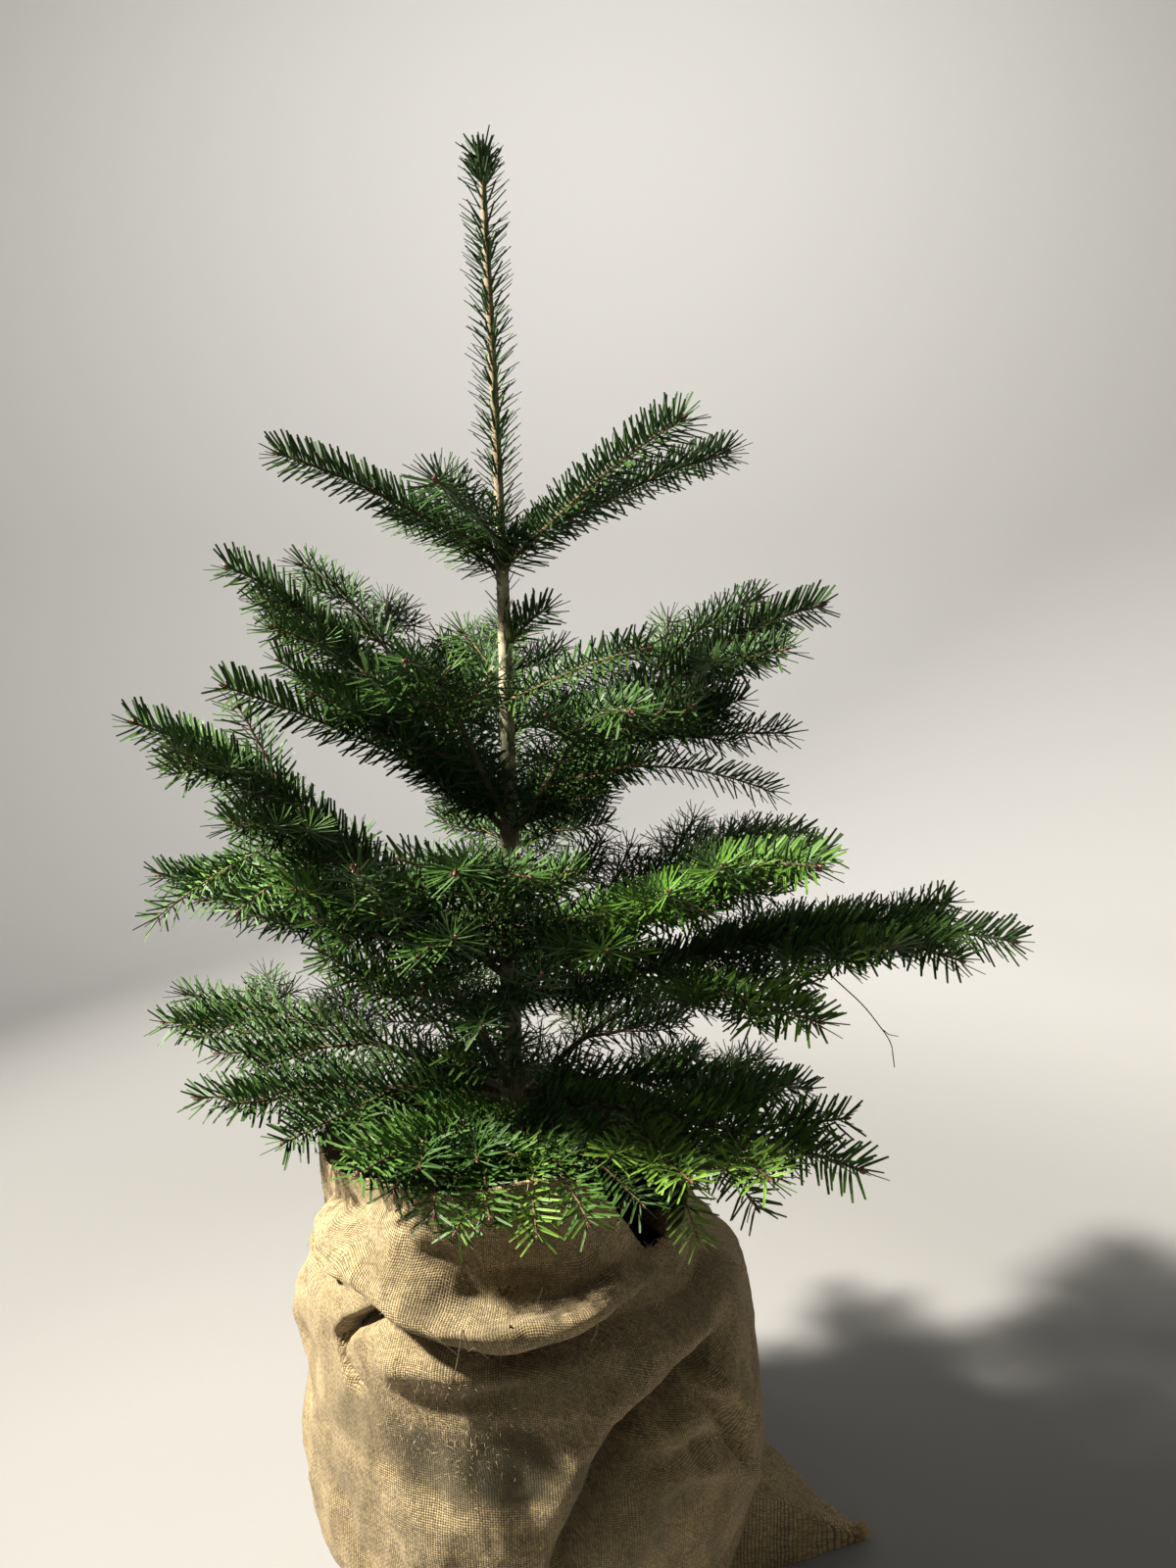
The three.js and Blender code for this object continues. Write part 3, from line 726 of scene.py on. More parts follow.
class NodeSheet:
    """A material's nodes, put in with short calls."""

    def __init__(self, name: str) -> None:
        """Start a material with its shader.

        Args:
            name: Name of the material.
        """
        self.material = bpy.data.materials.new(name)
        self.material.use_nodes = True
        self.tree = self.material.node_tree
        self.shader = next(node for node in self.tree.nodes if node.type == "BSDF_PRINCIPLED")

    def node(self, kind: str, inputs: dict | None = None, **settings: object) -> bpy.types.Node:
        """Add a node.

        Args:
            kind: Its type.
            inputs: Values or sockets for its inputs, by name or number.
            settings: Its own settings.

        Returns:
            The node.
        """
        made = self.tree.nodes.new(kind)
        for key, value in settings.items():
            setattr(made, key, value)
        for key, value in (inputs or {}).items():
            self.feed(made.inputs[key], value)
        return made

    def feed(self, socket: Socket, value: object) -> None:
        """Link a socket to another, or give it a value.

        Args:
            socket: The socket.
            value: The other socket, or the value.
        """
        if isinstance(value, Socket):
            self.tree.links.new(value, socket)
        else:
            socket.default_value = value

    def math(self, operation: str, *values: object) -> Socket:
        """Return the result of a sum on values or sockets."""
        made = self.node("ShaderNodeMath", dict(enumerate(values)), operation=operation)
        return made.outputs[0]

    def times(self, *values: object) -> Socket:
        """Return the product of values or sockets."""
        return reduce(lambda total, value: self.math("MULTIPLY", total, value), values)

    def plus(self, *values: object) -> Socket:
        """Return the sum of values or sockets."""
        return reduce(lambda total, value: self.math("ADD", total, value), values)

    def less(self, first: object, second: object) -> Socket:
        """Return the first value or socket less the second."""
        return self.math("SUBTRACT", first, second)

    def cells(self, where: Socket, scale: float) -> Socket:
        """Return how far a place is from the middle of its cell, at so many cells a metre."""
        return self.node("ShaderNodeTexVoronoi", {"Vector": where, "Scale": scale}).outputs["Distance"]

    def vector(self, operation: str, inputs: dict) -> Socket:
        """Return the result of a sum on vectors."""
        return self.node("ShaderNodeVectorMath", inputs, operation=operation).outputs[0]

    def noise(self, where: Socket, scale: float, detail: float = 2, rough: float = 0.5) -> Socket:
        """Return noise from 0 to 1 at a place, at so many cells a metre."""
        inputs = {"Vector": where, "Scale": scale, "Detail": detail, "Roughness": rough}
        return self.node("ShaderNodeTexNoise", inputs).outputs["Fac"]

    def ramp(self, value: Socket, low: float, high: float) -> Socket:
        """Step smoothly from 0 to 1.

        Args:
            value: What is read.
            low: Where the step is 0.
            high: Where it is 1.

        Returns:
            The step.
        """
        inputs = {"Value": value, "From Min": low, "From Max": high}
        made = self.node("ShaderNodeMapRange", inputs, interpolation_type="SMOOTHSTEP", clamp=True)
        return made.outputs[0]

    def mix(self, share: object, first: object, second: object) -> Socket:
        """Mix two colours.

        Args:
            share: How much of the second.
            first: The first colour or its socket.
            second: The second.

        Returns:
            The mixture.
        """
        made = self.node("ShaderNodeMix", data_type="RGBA")
        self.feed(made.inputs[0], share)
        self.feed(made.inputs[6], self.colour(first))
        self.feed(made.inputs[7], self.colour(second))
        return made.outputs[2]

    def colour(self, value: object) -> object:
        """Return a socket as it is, and a colour of three numbers with its fourth."""
        return (*value, 1.0) if isinstance(value, tuple) and len(value) == 3 else value

    def places(self) -> Socket:
        """Return where a point is on the object, in metres."""
        return self.node("ShaderNodeTexCoord").outputs["Object"]

    def lay(self) -> Socket:
        """Return where a point is on the laid-out surface."""
        return self.node("ShaderNodeTexCoord").outputs["UV"]

    def split(self, vector: Socket) -> tuple[Socket, ...]:
        """Return the three parts of a vector."""
        return tuple(self.node("ShaderNodeSeparateXYZ", {0: vector}).outputs)

    def bump(self, height: Socket, depth: float, strength: float = 1.0) -> None:
        """Raise the surface by a height of 0 to 1, so many metres deep."""
        made = self.node("ShaderNodeBump", {"Height": height, "Distance": depth, "Strength": strength})
        self.tree.links.new(made.outputs[0], self.shader.inputs["Normal"])

    def finish(self, colour: object, roughness: object, specular: float = 0.5, **values: object) -> Material:
        """Set the shader and return the material.

        Args:
            colour: Base colour, or the socket that makes it.
            roughness: Roughness, or the socket that makes it.
            specular: Strength of the plain reflection.
            values: Other sockets of the shader, with underscores for spaces.

        Returns:
            The material.
        """
        self.feed(self.shader.inputs["Base Color"], self.colour(colour))
        self.feed(self.shader.inputs["Roughness"], roughness)
        self.shader.inputs["Specular IOR Level"].default_value = specular
        for key, value in values.items():
            self.feed(self.shader.inputs[key.replace("_", " ")], value)
        return self.material


@dataclass(frozen=True)
class NeedleFinish:
    """Waxy upper face of a needle."""

    name: str
    colour: Triple
    light: Triple
    roughness: float = 0.48

    def material(self) -> Material:
        """Make a green that lightens to the needle's foot and varies by needle.

        Returns:
            The material.
        """
        sheet = NodeSheet(self.name)
        along = sheet.split(sheet.lay())[1]
        patch = sheet.noise(sheet.places(), 60, 1)
        share = sheet.times(sheet.ramp(patch, 0.3, 0.75), 0.75)
        foot = sheet.times(sheet.ramp(along, 0.35, 0.0), 0.4)
        colour = sheet.mix(sheet.math("MAXIMUM", share, foot), self.colour, self.light)
        groove = sheet.math("ABSOLUTE", sheet.less(sheet.split(sheet.lay())[0], 0.5))
        sheet.bump(sheet.ramp(groove, 0.0, 0.22), 0.00025)
        return sheet.finish(colour, self.roughness, 0.24)


@dataclass(frozen=True)
class UnderFinish:
    """Pale lower face of a needle, with a band each side of its keel."""

    name: str = "needle_underside"
    green: Triple = (0.019, 0.046, 0.009)
    band: Triple = (0.036, 0.072, 0.028)

    def material(self) -> Material:
        """Make a face that is green at the edges and the keel, and whitish between.

        Returns:
            The material.
        """
        sheet = NodeSheet(self.name)
        across = sheet.split(sheet.lay())[0]
        inner = sheet.ramp(across, 0.18, 0.34)
        outer = sheet.ramp(across, 0.9, 0.76)
        speck = sheet.noise(sheet.places(), 2400, 1)
        share = sheet.times(inner, outer, sheet.ramp(speck, 0.2, 0.6))
        return sheet.finish(sheet.mix(share, self.green, self.band), 0.55, 0.25)


@dataclass(frozen=True)
class BarkFinish:
    """Thin young bark with lenticels and a bloom of algae."""

    name: str
    light: Triple
    dark: Triple
    tint: Triple
    scale: float = 1.0
    depth: float = 0.0006
    dark_below: float = 0.0
    knots: tuple[float, ...] = ()
    young_above: float = 99.0
    young: Triple = (0.15, 0.095, 0.045)

    def material(self) -> Material:
        """Make two barks in patches, with a tint in places, fine scars round the stem, and a darker bark low
        down and at the knots that is partly painted shade.

        Returns:
            The material.
        """
        sheet = NodeSheet(self.name)
        places = sheet.places()
        around, along, _ = sheet.split(sheet.lay())
        patch = sheet.ramp(sheet.noise(places, 45 * self.scale, 4, 0.6), 0.35, 0.65)
        bloom = sheet.ramp(sheet.noise(places, 14 * self.scale, 3), 0.48, 0.62)
        colour = sheet.mix(patch, self.dark, self.light)
        colour = sheet.mix(sheet.times(bloom, 0.6), colour, self.tint)
        flat = sheet.node("ShaderNodeCombineXYZ", {0: sheet.times(around, 0.45), 1: along}).outputs[0]
        scars = sheet.ramp(sheet.cells(flat, 420 * self.scale), 0.0, 0.35)
        colour = sheet.mix(sheet.times(sheet.less(1.0, scars), 0.55), colour, self.dark)
        height = sheet.split(places)[2]
        # Darker below dark_below and round each knot: older bark there, with painted shade under the crown
        # and at the whorl joints.
        old_bark_and_shade = sheet.times(sheet.ramp(height, self.dark_below + 0.04, self.dark_below - 0.03), 0.72)
        for knot in self.knots:
            away = sheet.math("ABSOLUTE", sheet.less(height, knot))
            old_bark_and_shade = sheet.math("MAXIMUM", old_bark_and_shade, sheet.times(sheet.ramp(away, 0.024, 0.004), 0.85))
        colour = sheet.mix(old_bark_and_shade, colour, self.dark)
        new = sheet.times(sheet.ramp(height, self.young_above, self.young_above + 0.12), 0.8)
        new = sheet.times(new, sheet.plus(0.55, sheet.times(patch, 0.45)))
        colour = sheet.mix(new, colour, self.young)
        grain = sheet.noise(places, 700 * self.scale, 4, 0.65)
        sheet.bump(sheet.plus(sheet.times(grain, 0.7), scars), self.depth)
        return sheet.finish(colour, 0.78, 0.3)


@dataclass(frozen=True)
class BudFinish:
    """Resinous reddish-brown bud scales."""

    name: str = "bud_scales"
    light: Triple = (0.20, 0.075, 0.035)
    dark: Triple = (0.075, 0.026, 0.014)

    def material(self) -> Material:
        """Make overlapping scales under a thin coat of resin.

        Returns:
            The material.
        """
        sheet = NodeSheet(self.name)
        cells = sheet.cells(sheet.places(), 900)
        sheet.bump(cells, 0.0006)
        colour = sheet.mix(sheet.ramp(cells, 0.1, 0.6), self.light, self.dark)
        return sheet.finish(colour, 0.42, 0.5, Coat_Weight=0.25)


@dataclass(frozen=True)
class Thread:
    """One set of threads of a weave, as nodes: where they are, their rounded section and their numbers."""

    there: Socket
    rounded: Socket
    own: Socket
    wave: Socket
    side: Socket
    number: Socket


@dataclass(frozen=True)
class ShadeAndDirtBlot:
    """One dark patch on the front of the sack, partly dirt and partly painted shade: where, its half width
    and height, and how strong.
    """

    x: float
    z: float
    wide: float
    tall: float
    strength: float


@dataclass(frozen=True)
class JuteFinish:
    """Coarse plain weave of jute, with thick and thin threads, fluff, painted shade between the threads, and
    damp stains with painted shade low on the front.
    """

    name: str = "jute_weave"
    pitch: float = 0.0024
    pale: Triple = (0.62, 0.48, 0.26)
    warm: Triple = (0.37, 0.262, 0.12)
    deep: Triple = (0.04, 0.027, 0.013)
    stain_and_shade: Triple = (0.062, 0.050, 0.021)
    drift: float = 0.005
    single_dim: float = 0.46
    slub_dim: float = 0.40
    beneath_dim: float = 0.14
    hole_dim: float = 0.94
    shade_and_dirt_blots: tuple[ShadeAndDirtBlot, ...] = (
        # Dirt below the lobe, at the left and under the roll, partly painted shade of the crown and the
        # roll; the fourth is painted shade in a fold of the collar; the fifth and sixth darken the lower
        # front.
        ShadeAndDirtBlot(-0.015, 0.308, 0.092, 0.046, 0.92),
        ShadeAndDirtBlot(-0.122, 0.322, 0.060, 0.038, 0.50),
        ShadeAndDirtBlot(0.030, 0.378, 0.100, 0.032, 0.60),
        ShadeAndDirtBlot(-0.092, 0.488, 0.022, 0.014, 0.45),
        ShadeAndDirtBlot(0.110, 0.235, 0.070, 0.070, 0.50),
        ShadeAndDirtBlot(-0.170, 0.235, 0.045, 0.030, 0.35),
        # The floor of the pocket: soil dirt and painted shade.
        ShadeAndDirtBlot(0.020, 0.458, 0.060, 0.016, 0.60),
        # Painted shade along the diagonal valley.
        ShadeAndDirtBlot(0.188, 0.345, 0.022, 0.014, 0.60),
        ShadeAndDirtBlot(0.150, 0.333, 0.026, 0.014, 0.60),
        ShadeAndDirtBlot(0.112, 0.318, 0.022, 0.016, 0.65),
        ShadeAndDirtBlot(0.082, 0.285, 0.016, 0.026, 0.65),
        ShadeAndDirtBlot(0.064, 0.245, 0.014, 0.030, 0.60),
        ShadeAndDirtBlot(0.052, 0.195, 0.014, 0.034, 0.50),
    )

    def thread(self, sheet: NodeSheet, across: Socket, seed: float) -> Thread:
        """Draw one set of threads.

        Args:
            sheet: The material's nodes.
            across: Place across the threads, in threads.
            seed: Sets this set apart from the other.

        Returns:
            The threads.
        """
        number = sheet.math("FLOOR", across)
        lot = {"W": sheet.plus(number, seed)}
        own = sheet.node("ShaderNodeTexWhiteNoise", lot, noise_dimensions="1D").outputs[0]
        half = sheet.plus(0.27, sheet.times(own, 0.16))
        away = sheet.math("ABSOLUTE", sheet.less(sheet.less(across, number), 0.5))
        share = sheet.math("DIVIDE", away, half)
        there = sheet.ramp(share, 1.25, 0.85)
        hollow = sheet.times(share, sheet.times(share, 0.9))
        rounded = sheet.math("SQRT", sheet.math("MAXIMUM", 0.0, sheet.less(1.0, hollow)))
        wave = sheet.math("SINE", sheet.times(across, math.pi))
        side = sheet.less(1.0, sheet.times(sheet.math("PINGPONG", number, 1.0), 2.0))
        return Thread(there, rounded, own, wave, side, number)

    def material(self) -> Material:
        """Make two sets of threads that cross over and under, with painted shade in the holes and under the
        crossings, dirt and fluff.

        Returns:
            The material.
        """
        sheet = NodeSheet(self.name)
        places = sheet.places()
        wander = sheet.node("ShaderNodeTexNoise", {"Vector": places, "Scale": 26.0, "Detail": 2.0})
        shift = sheet.vector("SUBTRACT", {0: wander.outputs["Color"], 1: (0.5, 0.5, 0.5)})
        drift = sheet.vector("SCALE", {0: shift, "Scale": self.drift})
        laid = sheet.vector("ADD", {0: sheet.lay(), 1: drift})
        around, along, _ = sheet.split(laid)
        warp = self.thread(sheet, sheet.math("DIVIDE", around, self.pitch), 0.0)
        weft = self.thread(sheet, sheet.math("DIVIDE", along, self.pitch), 500.0)
        warp_over = sheet.plus(0.5, sheet.times(weft.wave, warp.side, 0.5))
        weft_over = sheet.less(0.5, sheet.times(warp.wave, weft.side, 0.5))
        warp_up = sheet.times(warp.rounded, sheet.plus(0.5, sheet.times(warp_over, 0.5)))
        weft_up = sheet.times(weft.rounded, sheet.plus(0.5, sheet.times(weft_over, 0.5)))
        height = sheet.math("MAXIMUM", warp_up, weft_up)
        fibres = sheet.noise(sheet.vector("MULTIPLY", {0: laid, 1: (1800.0, 260.0, 1.0)}), 1.0, 2)
        cross = sheet.noise(sheet.vector("MULTIPLY", {0: laid, 1: (260.0, 1800.0, 1.0)}), 1.0, 2)
        own = sheet.plus(warp.own, weft.own)
        broad = sheet.times(sheet.noise(places, 9, 4, 0.6), 0.55)
        patch = sheet.plus(broad, sheet.times(sheet.noise(places, 150, 3, 0.6), 0.45))
        share = sheet.plus(sheet.times(own, 0.1), sheet.times(patch, 0.9))
        colour = sheet.mix(sheet.ramp(share, 0.3, 0.85), self.pale, self.warm)
        strand = sheet.times(sheet.ramp(sheet.math("MAXIMUM", fibres, cross), 0.5, 0.75), 0.3)
        colour = sheet.mix(strand, colour, self.pale)
        cell_at = sheet.node("ShaderNodeCombineXYZ", {0: warp.number, 1: weft.number}).outputs[0]
        cell = sheet.node("ShaderNodeTexWhiteNoise", {"Vector": cell_at}, noise_dimensions="3D").outputs[0]
        # Painted shade of the weave: the holes, where only one thread lies, and the thread beneath each
        # crossing darken towards the deep colour; the slubs also darken it at random, as the threads' own
        # tone.
        cover = sheet.math("MAXIMUM", warp.there, weft.there)
        single = sheet.times(sheet.less(cover, sheet.times(warp.there, weft.there)), self.single_dim)
        slub = sheet.times(cell, self.slub_dim)
        beneath = sheet.times(warp_over, self.beneath_dim)
        hole = sheet.times(sheet.less(1.0, cover), self.hole_dim)
        dim = sheet.plus(single, beneath, sheet.times(slub, cover))
        colour = sheet.mix(sheet.math("MINIMUM", 0.95, sheet.plus(dim, hole)), colour, self.deep)
        colour = sheet.mix(self.stains_and_shade(sheet, places), colour, self.stain_and_shade)
        fluff = sheet.times(sheet.plus(fibres, cross), 0.22)
        sheet.bump(sheet.plus(height, fluff), 0.0012)
        return sheet.finish(colour, 0.92, 0.15, Sheen_Weight=0.08, Sheen_Roughness=0.6)

    def stains_and_shade(self, sheet: NodeSheet, places: Socket) -> Socket:
        """Work out the damp dirt and the painted shade: cloudy dirt, patches on the front below the collar
        that are partly painted shade, and dirt along the foot.

        Args:
            sheet: The material's nodes.
            places: Where a point is on the object.

        Returns:
            The share of dirt and painted shade.
        """
        x, y, z = sheet.split(places)
        cloud = sheet.noise(places, 14, 5, 0.62)
        front = sheet.ramp(y, -0.06, -0.16)
        total = sheet.times(sheet.ramp(z, 0.14, 0.0), sheet.ramp(cloud, 0.35, 0.7), 0.5)
        # Each patch darkens the front towards the stain colour, as dirt and as painted shade.
        for shade_blot in self.shade_and_dirt_blots:
            across = sheet.math("DIVIDE", sheet.less(x, shade_blot.x), shade_blot.wide)
            up = sheet.math("DIVIDE", sheet.less(z, shade_blot.z), shade_blot.tall)
            away = sheet.plus(sheet.times(across, across), sheet.times(up, up))
            ragged = sheet.plus(away, sheet.times(sheet.less(cloud, 0.5), 4.0))
            mark = sheet.times(sheet.ramp(ragged, 1.6, 0.2), front, shade_blot.strength)
            total = sheet.math("MAXIMUM", total, mark)
        faint = sheet.times(sheet.ramp(cloud, 0.5, 0.66), 0.36)
        return sheet.math("MAXIMUM", total, faint)


@dataclass(frozen=True)
class ThreadFinish:
    """Loose jute fibre."""

    name: str
    pale: Triple
    warm: Triple

    def material(self) -> Material:
        """Make a straw colour that varies along the fibre.

        Returns:
            The material.
        """
        sheet = NodeSheet(self.name)
        share = sheet.noise(sheet.places(), 180, 2)
        sheet.bump(sheet.noise(sheet.places(), 1500, 2), 0.0003)
        return sheet.finish(sheet.mix(share, self.pale, self.warm), 0.85, 0.2)


@dataclass(frozen=True)
class SoilFinish:
    """Damp crumbly soil."""

    name: str = "damp_soil"
    dark: Triple = (0.022, 0.014, 0.009)
    light: Triple = (0.085, 0.045, 0.028)

    def material(self) -> Material:
        """Make dark crumbs with reddish grains.

        Returns:
            The material.
        """
        sheet = NodeSheet(self.name)
        grain = sheet.noise(sheet.places(), 260, 6, 0.7)
        sheet.bump(grain, 0.003)
        return sheet.finish(sheet.mix(sheet.ramp(grain, 0.45, 0.7), self.dark, self.light), 0.95, 0.2)


@dataclass(frozen=True)
class FloorFinish:
    """Plain pale floor."""

    name: str = "pale_floor"
    ground: Triple = (0.25, 0.247, 0.24)
    wall: Triple = (0.62, 0.612, 0.595)
    near: float = 0.9
    far: float = 2.8

    def material(self) -> Material:
        """Make a matt ground that grows paler away from the middle, with a faint grain.

        Returns:
            The material.
        """
        sheet = NodeSheet(self.name)
        x, y, z = sheet.split(sheet.places())
        away = sheet.math("SQRT", sheet.plus(sheet.times(x, x), sheet.times(y, y)))
        paler = sheet.ramp(sheet.plus(away, z), self.near, self.far)
        sheet.bump(sheet.noise(sheet.places(), 300, 3), 0.0004, 0.4)
        return sheet.finish(sheet.mix(paler, self.ground, self.wall), 0.85, 0.2)


# Trunk


@dataclass
class Trunk:
    """The trunk from its foot on the soil to the bud at its top."""

    soil_top: float = 360
    tip: float = 1546
    foot_radius: float = 18
    radius_foot: float = 14
    shoulder_radius: float = 6.2
    leader_radius: float = 5.2
    tip_radius: float = 3.2
    flare_height: float = 70
    sway: float = 10
    sway_start: float = 450
    collar_swell: float = 0.22
    collar_height: float = 16
    sunk: float = 8
    rings: int = 620
    sides: int = 30
    relief: float = 0.5
    pegs: Triple = (640, 1180, 6.2)

    def centre(self, heights: Array) -> Array:
        """Read the axis.

        Args:
            heights: Heights above the floor.

        Returns:
            The points of the axis.
        """
        share = np.maximum(0, (heights - self.sway_start) / (self.tip - self.sway_start))
        sway = self.sway * np.sin(np.pi * np.minimum(1, share))
        return np.stack([sway, np.zeros_like(sway), heights], axis=-1)

    def at(self, shares: Array) -> Array:
        """Return the points of the axis at shares of the trunk's height."""
        foot = self.soil_top - self.sunk
        return self.centre(foot + (self.tip - foot) * shares)

    def radius(self, heights: Array) -> Array:
        """Work out the trunk's radius.

        Args:
            heights: Heights above the floor.

        Returns:
            The radius at each.
        """
        top = WHORLS[0].height
        lower = np.interp(heights, [self.soil_top, top], [self.radius_foot, self.shoulder_radius])
        upper = np.interp(heights, [top, self.tip], [self.leader_radius, self.tip_radius])
        radius = np.where(heights < top, lower, upper)
        flare = np.maximum(0, 1 - (heights - self.soil_top) / self.flare_height) ** 2
        radius = radius + (self.foot_radius - self.radius_foot) * np.minimum(1, flare)
        for whorl in WHORLS:
            if whorl.collar:
                away = (heights - whorl.height) / self.collar_height
                radius = radius * (1 + self.collar_swell * np.exp(-away * away))
        return radius

    def build(self) -> Piece:
        """Make the trunk with its bark's relief, its scars and its wrinkled collars.

        Returns:
            The trunk.
        """
        shares = np.linspace(0, 1, self.rings)
        axis = self.at(shares)
        heights = axis[:, 2]
        radii = np.repeat(self.radius(heights)[:, None], self.sides, axis=1)
        spots = ring_points(12, turns(self.sides), heights[:, None]).reshape(-1, 3)
        noise = SoftNoise(11)
        relief = 0.6 * noise.at(spots, (9, 9, 34)) + 0.35 * noise.at(spots, (4, 4, 3.2))
        collar = sum(np.exp(-(((heights - w.height) / 18) ** 2)) for w in WHORLS if w.collar)
        wrinkles = noise.at(spots + 50, (7, 7, 2.6)).reshape(radii.shape) * collar[:, None] * 1.1
        slim = np.minimum(1, radii / 9)
        radii = radii + slim * (self.relief * relief.reshape(radii.shape) + wrinkles)
        cloth = Cloth()
        add_rod(cloth, self, radii, self.sides)
        self.add_pegs(cloth)
        return cloth.piece("trunk_bark", [TRUNK_BARK])

    def add_pegs(self, cloth: Cloth) -> None:
        """Add the pegs that shed needles leave up the trunk.

        Args:
            cloth: Where they are added.
        """
        rng = np.random.default_rng(5)
        for height in np.arange(*self.pegs):
            turn = rng.uniform(0, 2 * np.pi)
            out = np.array([math.cos(turn), math.sin(turn), 0.55])
            spot = np.array([height])
            foot = self.centre(spot)[0] + out * [1, 1, 0] * (self.radius(spot)[0] - 0.5)
            peg = ShootPath(foot, foot + out * 1.2, foot + out * rng.uniform(1.8, 3.0))
            add_rod(cloth, peg, np.array([0.9, 0.6, 0.3]), 5)


# Needles


